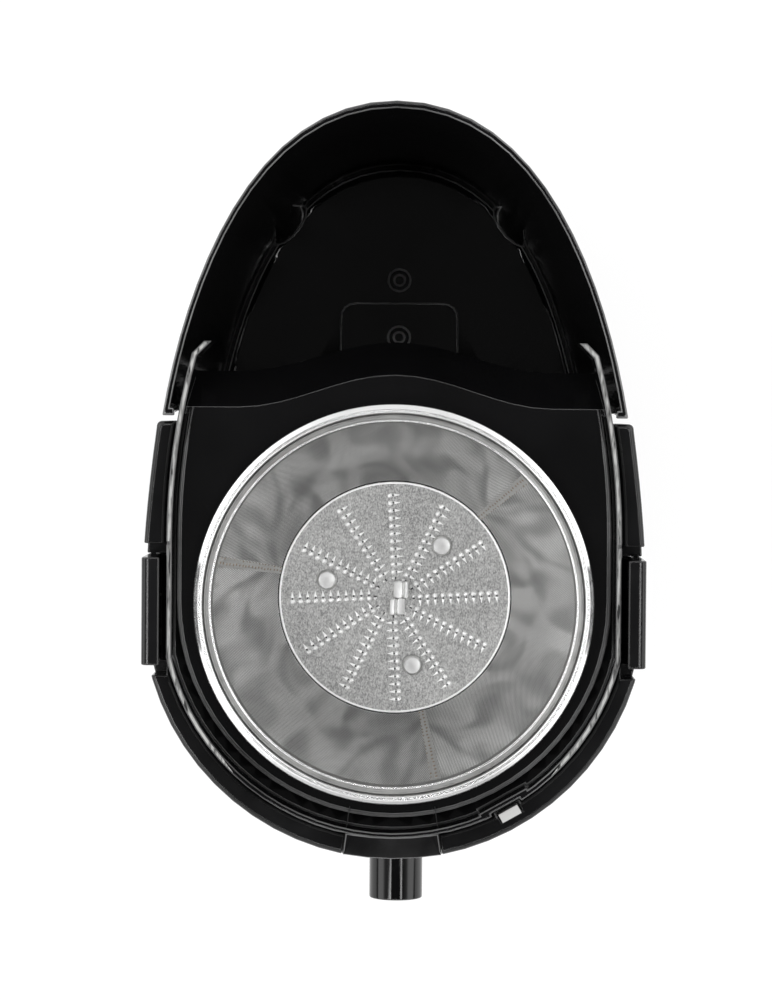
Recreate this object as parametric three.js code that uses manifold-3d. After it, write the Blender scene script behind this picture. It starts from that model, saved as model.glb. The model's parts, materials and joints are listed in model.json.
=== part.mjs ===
// Centrifugal juicer with its lid off: a motor base, a juice bowl with spout and pulp ramp,
// a spinning filter basket and a pulp container behind the base.
// Millimetres, +Z up, front (spout) towards -Y. The pieces are drawn about the motor axis,
// and the whole group is then moved along Y until its box is centred on the origin.

import * as THREE from 'three';
import { mergeVertices } from 'three/addons/utils/BufferGeometryUtils.js';
import Module from 'manifold-3d';

const wasm = await Module();
wasm.setup();

// ---------------------------------------------------------------- driving dimensions

const clearance = 0.3;
const shellWall = 2.5;

// Levels of the upper parts, counted from the housing's top edge
const housingTop = 224;
const plateDrop = 2;
const bandRise = 8;
const ledgeDrop = 16;
const rimRise = 8;
const basketDepth = 49.8;

// Filter basket
const discRadius = 46;
const discThickness = 1.2;
const sieveWall = 0.8;
const sieveTopRadius = 69.6;
const rimLip = 0.4;
const rimOverlap = 3;
const lowerRingWall = 1.7;
const lowerRingHeight = 4.6;
const toothRows = 12;
const teethPerRow = 11;
const toothPitch = 3.04;
const firstToothRadius = 10.1;
const toothRowTurn = 3;
const toothHeight = 1.5;
const toothHalfWidth = 1.15;
const toothStretch = 1.6;
const centreBladeHeight = 4.5;
const centreBladeLength = 6.5;
const centreBladeThickness = 1.1;
const centreBladeAngle = 60;
const rivetCircleRadius = 27.7;
const rivetAngles = [48, 166, 285];
const rivetHeadRadius = 4.2;
const rivetHeadHeight = 1.2;
const rivetHeadChamfer = 0.8;
const rivetShankRadius = 1.6;
const hubFlangeRadius = 33;
const hubFlangeThickness = 3.2;
const hubBossRadius = 15;
const hubBossLength = 18.5;

// Drive coupling
const couplingCoreRadius = 9;
const couplingLobeReach = 12;
const couplingLobeWidth = 6;
const couplingLobes = 3;
const couplingFlangeRadius = 14;
const couplingFlangeThickness = 2;
const couplingLength = 16;
const couplingRise = 1.7;

// Juice bowl
const plateThickness = 2.5;
const plateHoleGap = 3.1;
const plateMargin = 6.55;
const plateFrontShift = 1;
const plateSkirt = 1.6;
const grooveWidth = 1.4;
const grooveDepth = 5;
const bandWall = 2.05;
const bandSideFlat = 2.4;
const bandSlitWidth = 0.7;
const bandSlitDepth = 3;
const bandSlitsY = [-25.3, 23];
const armBendStartY = 25;
const armBendControlY = 60;
const armBend = 9.3;
const armReach = 20.4;
const armHookLength = 6.5;
const armHookHeading = 135;
const plateBackGap = 1.5;
const plateBackSwell = 12.6;
const rampReach = 14;
const rampBackSwell = 11.4;
const swellHalfWidth = 60;
const swellStations = 16;
const rampDrop = 17;
const rampBulge = 0.4;
const rampThickness = 1.8;
const wellMargin = 7;
const wellSeatGap = 0.7;
const bowlFloorThickness = 3;
const collarInnerRadius = 17;
const collarWall = 2.5;
const collarGap = 2.2;
const beadWidth = 1.1;
const beadHeight = 0.9;
const spoutReach = 22.9;
const spoutOuterRadius = 10.6;
const spoutBoreRadius = 8.3;
const spoutRise = 11.7;
const spoutShift = 1.2;
const spoutTipRake = 8;
const spoutTipAngle = 35;
const spoutBoreReach = 4;
const spoutBlockHalfWidth = 19.4;
const spoutBlockFlare = 3.2;
const spoutBlockDraft = 2;
const spoutBlockDrop = 2;
const spoutBlockGap = 0.5;
const spoutPocketWall = 3;

// Base housing
const bodyRimWidth = 7.7;
const bodyCentreY = -1.5;
const sideSwellY = 27;
const shoulderInset = 5.4;
const shoulderSetback = 5.5;
const shoulderCorner = 2.5;
const housingBottom = 3;
const waistHeight = 90;
const waistInset = 4.5;
const footSwellHeight = 10;
const shoulderHeight = 175;
const edgeRound = 1.2;
const deckThickness = 4;
const ledgeThickness = 3.5;
const platformHalfWidth = 58;
const platformStartY = 50;
const platformStraightY = 100;
const platformHandle = 35;
const platformNoseGap = 23.9;
const platformTop = 15;
const keyHalfWidth = 23;
const keyHeight = 7;
const keyStartY = 90;
const keyEndY = 116;
const keyCorner = 5;

// Base plate, its screws and the feet
const basePlateBottom = 4.5;
const basePlateThickness = 3;
const footRadius = 9;
const footStubRadius = 2.6;
const footChamfer = 0.8;
const frontFootInset = 22.5;
const rearFootInsetX = 20;
const rearFootReach = 28;
const frontScrewInset = 9.7;
const rearScrewInsetX = 28;
const rearScrewInsetY = 13;
const screwRadius = 1.6;
const screwHeadRadius = 3.4;
const screwHeadHeight = 1.3;
const screwLength = 14;
const bossRadius = 5;
const bossHeight = 16;
const bossRibWidth = 3;
const bossRibWallDepth = 1.6;
const ventSlots = 7;
const ventPitch = 9;
const ventWidth = 4;
const ventLength = 44;

// Pulp container
const binSideInset = 7.7;
const binFrontGap = 2.1;
const binNoseY = 191.9;
const binNoseHandleX = 56;
const binSideHandleInset = 8.2;
const binSideHandleY = 121.7;
const binNestGap = 2;
const binRise = 2;
const binFrontGapBelowRamp = 5;
const binRimOverhang = 1;
const binRimRound = 0.9;
const binRimHeight = 4.5;
const binRimEndWidth = 4.5;
const binWall = 1.8;
const binDraft = 7;
const binFloorThickness = 3;
const binBottomRound = 3;
const binFloorRound = 4.5;
const gateRadius = 4.9;
const gateDimpleRadius = 2.4;
const gateHeight = 0.7;
const gateReach = 12.8;
const padWall = 2.4;
const fluteInsetX = 27.2;
const fluteInsetY = 25.9;
const fluteTopRadius = 8;
const fluteBottomRadius = 19;
const fluteDrop = 86;
const fluteTipLength = 26;

// Latches
const latchY = -2.7;
const latchWidth = 41;
const latchPivotDrop = 26;
const latchBarrelRadius = 3.9;
const latchPinRadius = 1.8;
const latchSideGap = 0.8;
const latchPivotInset = 4.4;
const latchArmThickness = 4.8;
const latchRise = 12;
const latchHookReach = 2;
const latchHookHeight = 6;
const latchLugWidth = 4.5;
const latchRecessDepth = 8;
const latchLugDrop = 7;

// Interlock in the base's rim
const interlockAngle = -60.5;
const interlockInset = 5.2;
const plungerWidth = 8.2;
const plungerDepth = 3.6;
const interlockBlockWall = 1.25;
const interlockBlockSide = 1.2;
const interlockNotchGap = 0.7;
const plungerFlangeExtra = 2;
const plungerFlangeThickness = 3;
const plungerFlangeInward = 1.2;
const plungerTravel = 4;
const interlockSpringLength = 20;
const interlockSpringRadius = 2.2;
const interlockWire = 0.45;
const interlockSpringTurns = 5;
const interlockSwitchHeight = 14;
const interlockSwitchWidth = 18;
const interlockSwitchDepth = 7;
const interlockSwitchOffset = 2.5;
const interlockSpringOffset = 0.6;
const interlockShelfThickness = 4;

// Speed knob and rotary switch
const knobHeight = 62;
const knobRadius = 17;
const knobDepth = 11;
const knobFlutes = 12;
const knobFluteRadius = 1.6;
const knobFluteReach = 0.6;
const knobSkirt = 3;
const knobSpindleReach = 10;
const knobShaftRadius = 3;
const switchSize = 28;
const switchDepth = 18;
const switchSeatRadius = 15;
const switchSeatWall = 6;
const switchSeatDepth = 20;

// Cable inlet
const inletY = 42;
const inletHeight = 24;
const inletRadius = 6;
const inletBoreRadius = 3.6;
const inletProud = 1.8;
const inletInside = 6;
const inletSideCurve = 1.2;
const sealRadius = 10;
const cutReach = 5;

// Motor
const shaftRadius = 4;
const shaftBottom = 20;
const stackBottom = 75;
const stackHeight = 40;
const stackHalfWidth = 38;
const stackCorner = 12;
const stackBore = 23;
const airGap = 0.6;
const armatureSlots = 12;
const endTurnHeight = 8;
const coilInnerHalfWidth = 17.5;
const coilSide = 7;
const coilDepth = 7;
const coilStartY = 23.6;
const commutatorRadius = 11;
const commutatorBottom = 53;
const commutatorHeight = 14;
const bracketRadius = 48;
const bracketThickness = 4;
const bracketGap = 6;
const lowerBracketBottom = 42;
const bearingRadius = 11;
const bearingThickness = 6.7;
const bearingBossRadius = 14;
const pillarOffset = 31;
const pillarRadius = 4;
const mountCircleRadius = 40;
const mountHoleRadius = 2.1;
const bracketHoleRadius = 6;
const bracketWindowInner = 18;
const bracketWindowOuter = 40;
const bracketWindowWidth = 30;
const brushPostShort = 6;
const rubberMountRadius = 7;
const brushWidth = 6;
const brushHeight = 7;
const brushLength = 15;
const brushHolderLength = 20;
const brushHolderWall = 1.6;
const fanRadius = 34;
const fanThickness = 1.8;
const fanHeight = 10.5;
const fanBlades = 8;
const fanHubRadius = 8;

// ---------------------------------------------------------------- derived levels and places

const plateTop = housingTop - plateDrop;
const plateBottom = plateTop - plateThickness;
const bandTop = housingTop + bandRise;
const ledgeTop = housingTop - ledgeDrop;
const bandBottom = ledgeTop + clearance;
const rimTop = plateTop + rimRise;
const rimInnerRadius = sieveTopRadius - rimLip;
const plateHoleRadius = sieveTopRadius + sieveWall + plateHoleGap;
const rimRadius = plateHoleRadius + rimOverlap;
const plateRadius = rimRadius + plateMargin;
const wellRadius = plateHoleRadius + wellMargin;
const bandHalfWidth = plateRadius + grooveWidth + bandWall;
const bandRadius = bandHalfWidth + bandSideFlat;
const grooveBottom = plateTop - grooveDepth;
const grooveUnder = grooveBottom - shellWall;
const bodyRadius = bandRadius + bodyRimWidth;
const plateBackY = plateHoleRadius + plateBackGap;
const rampBackY = plateBackY + rampReach;
const rampBackHeight = plateTop - rampDrop;
const rampMiddleHeight = plateTop - rampDrop / 2 + rampBulge;
const armHookX = bandHalfWidth - armBend;
const armHookY = plateBackY + armReach;
const discTop = rimTop - basketDepth;
const discBottom = discTop - discThickness;
const hubFlangeTop = discBottom - clearance;
const hubFlangeBottom = hubFlangeTop - hubFlangeThickness;
const hubBottom = hubFlangeBottom - hubBossLength;
const couplingBottom = hubBottom - clearance - couplingFlangeThickness;
const couplingTop = couplingBottom + couplingFlangeThickness + couplingLength;
const deckTop = couplingBottom - couplingRise;
const bowlBottom = deckTop + clearance;
const bowlFloorTop = bowlBottom + bowlFloorThickness;
const collarTop = hubFlangeBottom - collarGap;
const spoutHeight = bowlFloorTop + spoutRise;
const spoutTipY = bodyCentreY - bodyRadius - spoutReach;
const spoutPocketHalfWidth = spoutBlockHalfWidth + spoutPocketWall;
const spoutPocketBackY = shellWall - wellRadius + spoutPocketWall;
const shaftTop = couplingTop - 3;
const deckBottom = deckTop - deckThickness;
const wellSeatRadius = wellRadius + wellSeatGap;
const cupRadius = wellSeatRadius + shellWall;
const nestRadius = cupRadius + clearance;
const shoulderX = bodyRadius - shoulderInset;
const shoulderY = plateBackY - shoulderSetback;
const frontFootPlace = (bodyRadius - frontFootInset) * Math.SQRT1_2;
const frontFoot = { x: frontFootPlace, y: -frontFootPlace };
const rearFoot = { x: platformHalfWidth - rearFootInsetX, y: platformStraightY + rearFootReach };
const frontScrewPlace = (bodyRadius - frontScrewInset) * Math.SQRT1_2;
const frontScrew = { x: frontScrewPlace, y: -frontScrewPlace };
const rearScrew = { x: shoulderX - rearScrewInsetX, y: shoulderY - rearScrewInsetY };
const platformEndY = binNoseY - platformNoseGap;
const binHalfWidth = bodyRadius - binSideInset;
const binFrontY = shoulderY + binFrontGap;
const binNestRadius = nestRadius + binNestGap;
const binTop = housingTop + binRise;
const binFrontTop = rampBackHeight - binFrontGapBelowRamp;
const fluteX = binHalfWidth - fluteInsetX;
const fluteY = binNoseY - fluteInsetY;
const fluteTop = binTop - fluteDrop;
const latchOuterX = bodyRadius - latchSideGap;
const latchPivotX = latchOuterX - latchPivotInset;
const latchPivotHeight = housingTop - latchPivotDrop;
const latchTop = housingTop + latchRise;
const interlockRadius = bodyRadius - interlockInset;
const interlockSwitchRadius = interlockRadius - interlockSwitchOffset;
const interlockBlockRadius = interlockRadius - plungerDepth / 2 - clearance - interlockBlockWall;
const interlockBlockWidth = plungerWidth + 2 * (clearance + interlockBlockSide);
const interlockNotchRadius = interlockBlockRadius - interlockNotchGap;
const interlockNotchWidth = interlockBlockWidth + 2 * interlockNotchGap;
const basePlateTop = basePlateBottom + basePlateThickness;
const binBottom = platformTop + clearance + 1;
const binFloor = binBottom + binFloorThickness;
const recessHalfWidth = keyHalfWidth + 0.6;
const recessEndY = keyEndY + 3;
const recessTop = platformTop + keyHeight + 1.2;
const stackTop = stackBottom + stackHeight;
const upperBracketTop = deckBottom - bracketGap;
const upperBracketBottom = upperBracketTop - bracketThickness;
const lowerBracketTop = lowerBracketBottom + bracketThickness;
const brushCentreHeight = commutatorBottom + commutatorHeight / 2;
const plungerTop = housingTop + plungerTravel;
const plungerBottom = ledgeTop - ledgeThickness - clearance - plungerFlangeThickness;
const springTop = plungerBottom - clearance;
const springBottom = springTop - interlockSpringLength;
const interlockSwitchTop = springBottom - clearance;
const interlockSwitchBottom = interlockSwitchTop - interlockSwitchHeight;
const interlockShelfTop = interlockSwitchBottom - clearance;
const latchStart = latchY - latchWidth / 2;
const latchEnd = latchY + latchWidth / 2;
const frontCentreShift = (binNoseY + spoutTipY) / 2;

// ---------------------------------------------------------------- solids

function volumeOf(position, index) {
  const [a, b, c] = [new THREE.Vector3(), new THREE.Vector3(), new THREE.Vector3()];
  let volume = 0;
  for (let i = 0; i < index.length; i += 3) {
    a.fromBufferAttribute(position, index[i]);
    b.fromBufferAttribute(position, index[i + 1]);
    c.fromBufferAttribute(position, index[i + 2]);
    volume += a.dot(b.cross(c));
  }
  return volume;
}

// A closed three.js geometry as a solid that can be joined and cut.
function solid(geometry) {
  geometry.deleteAttribute('normal');
  geometry.deleteAttribute('uv');
  const merged = mergeVertices(geometry, 1e-3);
  const position = merged.getAttribute('position');
  const source = merged.getIndex().array;
  const index = [];
  for (let i = 0; i < source.length; i += 3) {
    const [a, b, c] = source.slice(i, i + 3);
    if (a !== b && b !== c && c !== a) index.push(a, b, c);
  }
  if (volumeOf(position, index) < 0) index.reverse();
  return new wasm.Manifold(new wasm.Mesh({
    numProp: 3,
    vertProperties: new Float32Array(position.array),
    triVerts: new Uint32Array(index),
  }));
}

const joined = (solids) => solids.reduce((whole, next) => whole.add(next));
const cutBy = (body, tools) => body.subtract(joined(tools));

function prism(shape, bottom, top, curveSegments = 12) {
  const geometry = new THREE.ExtrudeGeometry(shape, { depth: top - bottom, bevelEnabled: false, curveSegments });
  geometry.translate(0, 0, bottom);
  return solid(geometry);
}

function box(width, depth, bottom, top, x = 0, y = 0) {
  const geometry = new THREE.BoxGeometry(width, depth, top - bottom);
  geometry.translate(x, y, (bottom + top) / 2);
  return solid(geometry);
}

// A box from one corner to the other.
function block(low, high) {
  return box(high[0] - low[0], high[1] - low[1], low[2], high[2], (low[0] + high[0]) / 2, (low[1] + high[1]) / 2);
}

function rod(radius, bottom, top, { x = 0, y = 0, segments = 16, topRadius = radius } = {}) {
  const geometry = new THREE.CylinderGeometry(topRadius, radius, top - bottom, segments);
  geometry.rotateX(Math.PI / 2);
  geometry.translate(x, y, (bottom + top) / 2);
  return solid(geometry);
}

// A rod lying along the front-to-back direction.
function rodAlongY(radius, start, end, { x = 0, z = 0, segments = 16 } = {}) {
  const geometry = new THREE.CylinderGeometry(radius, radius, end - start, segments);
  geometry.translate(x, (start + end) / 2, z);
  return solid(geometry);
}

// A profile of [radius, height] points turned about the motor axis.
function turned(profile, segments = 56) {
  const geometry = new THREE.LatheGeometry(profile.map(([r, z]) => new THREE.Vector2(r, z)), segments);
  geometry.rotateX(Math.PI / 2);
  return solid(geometry);
}

function ring(innerRadius, outerRadius, bottom, top, segments = 56) {
  const corners = [[innerRadius, bottom], [outerRadius, bottom], [outerRadius, top], [innerRadius, top]];
  return turned([...corners, corners[0]], segments);
}

// A skin through rings of points with the same count, closed by a flat cap at each end.
// Flattened, each ring runs anticlockwise.
function loft(rings, flatten = (point) => new THREE.Vector2(point.x, point.y)) {
  const count = rings[0].length;
  const positions = rings.flat().flatMap((point) => [point.x, point.y, point.z]);
  const index = [];
  for (let level = 0; level < rings.length - 1; level += 1) {
    for (let i = 0; i < count; i += 1) {
      const [a, b] = [level * count + i, level * count + ((i + 1) % count)];
      index.push(a, b, b + count, a, b + count, a + count);
    }
  }
  const last = (rings.length - 1) * count;
  for (const [a, b, c] of THREE.ShapeUtils.triangulateShape(rings[0].map(flatten), [])) {
    index.push(a, c, b, last + a, last + b, last + c);
  }
  const geometry = new THREE.BufferGeometry();
  geometry.setAttribute('position', new THREE.Float32BufferAttribute(positions, 3));
  geometry.setIndex(index);
  return solid(geometry);
}

// An outline's points, each one apart from the one before it, all the way round.
function pointsOf(outline, divisions) {
  const points = outline.getPoints(divisions);
  return points.filter((point, i) => point.distanceTo(points.at(i - 1)) > 1e-4);
}

// A loft through outlines at rising levels, each level giving its height and its inset.
function stack(outlineAt, levels, divisions = 6) {
  return loft(levels.map(({ height, inset }) => pointsOf(outlineAt(inset), divisions)
    .map((point) => new THREE.Vector3(point.x, point.y, height))));
}

// A box whose width lies across a radius at the given angle.
function radialBlock(angle, innerRadius, outerRadius, width, bottom, top) {
  return box(outerRadius - innerRadius, width, bottom, top, (innerRadius + outerRadius) / 2, 0).rotate([0, 0, angle]);
}

const mirroredX = (body) => [body, body.mirror([1, 0, 0])];
const around = (count, start, make) => Array.from({ length: count }, (_, i) => make(start + (360 / count) * i));
const corners = (x, y) => [[x, y], [-x, y], [-x, -y], [x, -y]];

// ---------------------------------------------------------------- outlines seen from above

// The housing: a round front, nearly straight sides, two shoulders and a round back between them.
function bodyOutline(inset) {
  const front = bodyRadius - inset;
  const side = shoulderX - inset;
  const back = shoulderY - inset;
  const nest = nestRadius - inset;
  const nestX = Math.sqrt(nest ** 2 - back ** 2);
  const nestAngle = Math.atan2(back, nestX);
  const outline = new THREE.Shape();
  outline.moveTo(front, bodyCentreY);
  outline.quadraticCurveTo(front, sideSwellY, side, back - shoulderCorner);
  outline.quadraticCurveTo(side, back, side - shoulderCorner, back);
  outline.lineTo(nestX, back);
  outline.absarc(0, 0, nest, nestAngle, Math.PI - nestAngle, false);
  outline.lineTo(shoulderCorner - side, back);
  outline.quadraticCurveTo(-side, back, -side, back - shoulderCorner);
  outline.quadraticCurveTo(-front, sideSwellY, -front, bodyCentreY);
  outline.absarc(0, bodyCentreY, front, Math.PI, 1.5 * Math.PI, false);
  outline.absarc(0, bodyCentreY, front, 1.5 * Math.PI, 2 * Math.PI, false);
  return outline;
}

// Where a line that runs inside the arm's outer face turns in along its hooked tip.
function hookCorner(inset) {
  const armHeading = Math.atan2(armHookY - armBendControlY, -armBend);
  const tipHeading = THREE.MathUtils.degToRad(armHookHeading);
  const middle = (armHeading + tipHeading) / 2;
  const offset = inset / Math.cos((tipHeading - armHeading) / 2);
  return new THREE.Vector2(armHookX - offset * Math.sin(middle), armHookY + offset * Math.cos(middle));
}

// The bowl's band: round at the front, straight at the sides, bending in to the arms' hooked tips.
// A reach carries the tips on past their ends.
function bandOutline(inset, reach = 0) {
  const front = bandRadius - inset;
  const side = bandHalfWidth - inset;
  const bendY = -Math.sqrt(front ** 2 - side ** 2);
  const startAngle = Math.atan2(bendY, side);
  const hook = hookCorner(inset);
  const tip = new THREE.Vector2(armHookLength + reach, 0)
    .rotateAround(new THREE.Vector2(), THREE.MathUtils.degToRad(armHookHeading)).add(hook);
  const outline = new THREE.Shape();
  outline.moveTo(side, bendY);
  outline.lineTo(side, armBendStartY);
  outline.quadraticCurveTo(side, armBendControlY, hook.x, hook.y);
  outline.lineTo(tip.x, tip.y);
  outline.lineTo(-tip.x, tip.y);
  outline.lineTo(-hook.x, hook.y);
  outline.quadraticCurveTo(-side, armBendControlY, -side, armBendStartY);
  outline.lineTo(-side, bendY);
  outline.absarc(0, 0, front, Math.PI - startAngle, 1.5 * Math.PI, false);
  outline.absarc(0, 0, front, 1.5 * Math.PI, 2 * Math.PI + startAngle, false);
  return outline;
}

// The bowl's plate: a round front on a centre of its own, and sides that follow the band at a groove's width.
function plateOutline(inset) {
  const side = plateRadius - inset;
  const corner = hookCorner(bandHalfWidth - side);
  const outline = new THREE.Shape();
  outline.moveTo(side, plateFrontShift);
  outline.lineTo(side, armBendStartY);
  outline.quadraticCurveTo(side, armBendControlY, corner.x, corner.y);
  outline.lineTo(-corner.x, corner.y);
  outline.quadraticCurveTo(-side, armBendControlY, -side, armBendStartY);
  outline.lineTo(-side, plateFrontShift);
  outline.absarc(0, plateFrontShift, side, Math.PI, 1.5 * Math.PI, false);
  outline.absarc(0, plateFrontShift, side, 1.5 * Math.PI, 2 * Math.PI, false);
  return outline;
}

// The block that carries the spout: it flares outwards, and a draft narrows it towards the bottom.
function spoutBlockOutline(inset, reach = 0) {
  const inner = spoutBlockHalfWidth - spoutBlockFlare - inset;
  const outer = spoutBlockHalfWidth - inset;
  const [innerY, outerY] = [-wellRadius + shellWall, bodyCentreY - bodyRadius];
  const flare = ((outer - inner) * reach) / (innerY - outerY);
  const outline = new THREE.Shape();
  outline.moveTo(outer + flare, outerY - reach);
  outline.lineTo(inner, innerY);
  outline.lineTo(-inner, innerY);
  outline.lineTo(-outer - flare, outerY - reach);
  return outline;
}

// How far the plate's back edge and the ramp swell backwards at a place across the bowl.
function swellAt(x) {
  return Math.abs(x) < swellHalfWidth ? Math.cos((Math.PI * x) / (2 * swellHalfWidth)) ** 2 : 0;
}

const plateEdgeY = (x) => plateBackY + plateBackSwell * swellAt(x);
const rampEdgeY = (x) => rampBackY + rampBackSwell * swellAt(x);

// Places across the bowl, close together where its back edge swells.
function stationsAcross(half) {
  const inside = Array.from({ length: swellStations + 1 }, (_, i) => swellHalfWidth * (2 * i / swellStations - 1));
  return [-half, ...inside, half];
}

// The open space behind the plate's swelling back edge.
function gapOutline() {
  const outline = new THREE.Shape();
  outline.moveTo(bandHalfWidth, armHookY + armHookLength);
  outline.lineTo(-bandHalfWidth, armHookY + armHookLength);
  stationsAcross(bandHalfWidth).forEach((x) => outline.lineTo(x, plateEdgeY(x)));
  return outline;
}

const binSteps = 16;
const platformSteps = 8;

// The pulp container: a pointed arch at the back and a hollow front that hugs the housing.
function binOutline(inset) {
  const side = binHalfWidth - inset;
  const handle = side - binSideHandleInset;
  const front = binFrontY + inset;
  const nest = binNestRadius + inset;
  const nose = binNoseY - inset;
  const nestX = Math.sqrt(nest ** 2 - front ** 2);
  const nestAngle = Math.atan2(front, nestX);
  const outline = new THREE.Shape();
  outline.moveTo(side, front);
  outline.bezierCurveTo(handle, binSideHandleY, binNoseHandleX - inset / 2, nose, 0, nose);
  outline.bezierCurveTo(inset / 2 - binNoseHandleX, nose, -handle, binSideHandleY, -side, front);
  outline.lineTo(-nestX, front);
  outline.absarc(0, 0, nest, Math.PI - nestAngle, nestAngle, true);
  return outline;
}

// The tray that carries the pulp container.
function platformOutline(inset) {
  const side = platformHalfWidth - inset;
  const end = platformEndY - inset;
  const outline = new THREE.Shape();
  const handle = platformStraightY + platformHandle;
  outline.moveTo(side, platformStartY);
  outline.lineTo(side, platformStraightY);
  outline.bezierCurveTo(side, handle, side / 2, end, 0, end);
  outline.bezierCurveTo(-side / 2, end, -side, handle, -side, platformStraightY);
  outline.lineTo(-side, platformStartY);
  return outline;
}

function roundedRectangle(halfWidth, startY, endY, corner) {
  const outline = new THREE.Shape();
  outline.moveTo(halfWidth, startY);
  outline.lineTo(halfWidth, endY - corner);
  outline.quadraticCurveTo(halfWidth, endY, halfWidth - corner, endY);
  outline.lineTo(corner - halfWidth, endY);
  outline.quadraticCurveTo(-halfWidth, endY, -halfWidth, endY - corner);
  outline.lineTo(-halfWidth, startY);
  return outline;
}

function roundedSquare(half, corner) {
  const outline = new THREE.Shape();
  for (const [turn, [x, y]] of corners(half - corner, half - corner).entries()) {
    outline.absarc(x, y, corner, (turn * Math.PI) / 2, ((turn + 1) * Math.PI) / 2, false);
  }
  return outline;
}

// ---------------------------------------------------------------- base housing

const bodyProfile = [
  { height: housingBottom, inset: edgeRound },
  { height: footSwellHeight, inset: 0 },
  { height: (footSwellHeight + waistHeight) / 2, inset: waistInset * 0.6 },
  { height: waistHeight, inset: waistInset },
  { height: (waistHeight + shoulderHeight) / 2, inset: waistInset * 0.35 },
  { height: shoulderHeight, inset: 0 },
  { height: housingTop - edgeRound, inset: 0 },
  { height: housingTop, inset: edgeRound },
];

function bodyInsetAt(height) {
  const next = bodyProfile.findIndex((level) => level.height >= height);
  if (next <= 0) return bodyProfile[0].inset;
  const [low, high] = [bodyProfile[next - 1], bodyProfile[next]];
  return THREE.MathUtils.mapLinear(height, low.height, high.height, low.inset, high.inset);
}

// The housing's outside, or a space inside it when the inset grows, between two heights.
function bodySolid(extraInset, bottom, top, divisions = 6) {
  const between = bodyProfile.filter((level) => level.height > bottom && level.height < top);
  const ends = [bottom, top].map((height) => ({ height, inset: bodyInsetAt(height) }));
  const levels = [ends[0], ...between, ends[1]];
  return stack(bodyOutline, levels.map(({ height, inset }) => ({ height, inset: inset + extraInset })), divisions);
}

// Where the inside of the front wall stands at a height.
const wallInnerRadius = (height) => bodyRadius - bodyInsetAt(height) - shellWall;

const switchSeatY = bodyCentreY - wallInnerRadius(knobHeight) + switchSeatWall;

// The spout block's space, grown all round.
function spoutBlockSolid(grow, reach) {
  return stack((inset) => spoutBlockOutline(inset, reach), [
    { height: bowlBottom - grow, inset: spoutBlockDraft - grow },
    { height: bandTop, inset: -grow },
  ]);
}

function latchRecess(grow) {
  return block(
    [bandHalfWidth + clearance - grow, latchStart - clearance - grow, latchPivotHeight - latchRecessDepth - grow],
    [bodyRadius + cutReach, latchEnd + clearance + grow, housingTop + 1],
  );
}

function latchLugRecess(grow) {
  const side = clearance + latchLugWidth;
  return block(
    [bandHalfWidth + clearance - grow, latchStart - side - grow, latchPivotHeight + latchLugDrop],
    [bodyRadius + cutReach, latchEnd + side + grow, housingTop + 1],
  );
}

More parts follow.
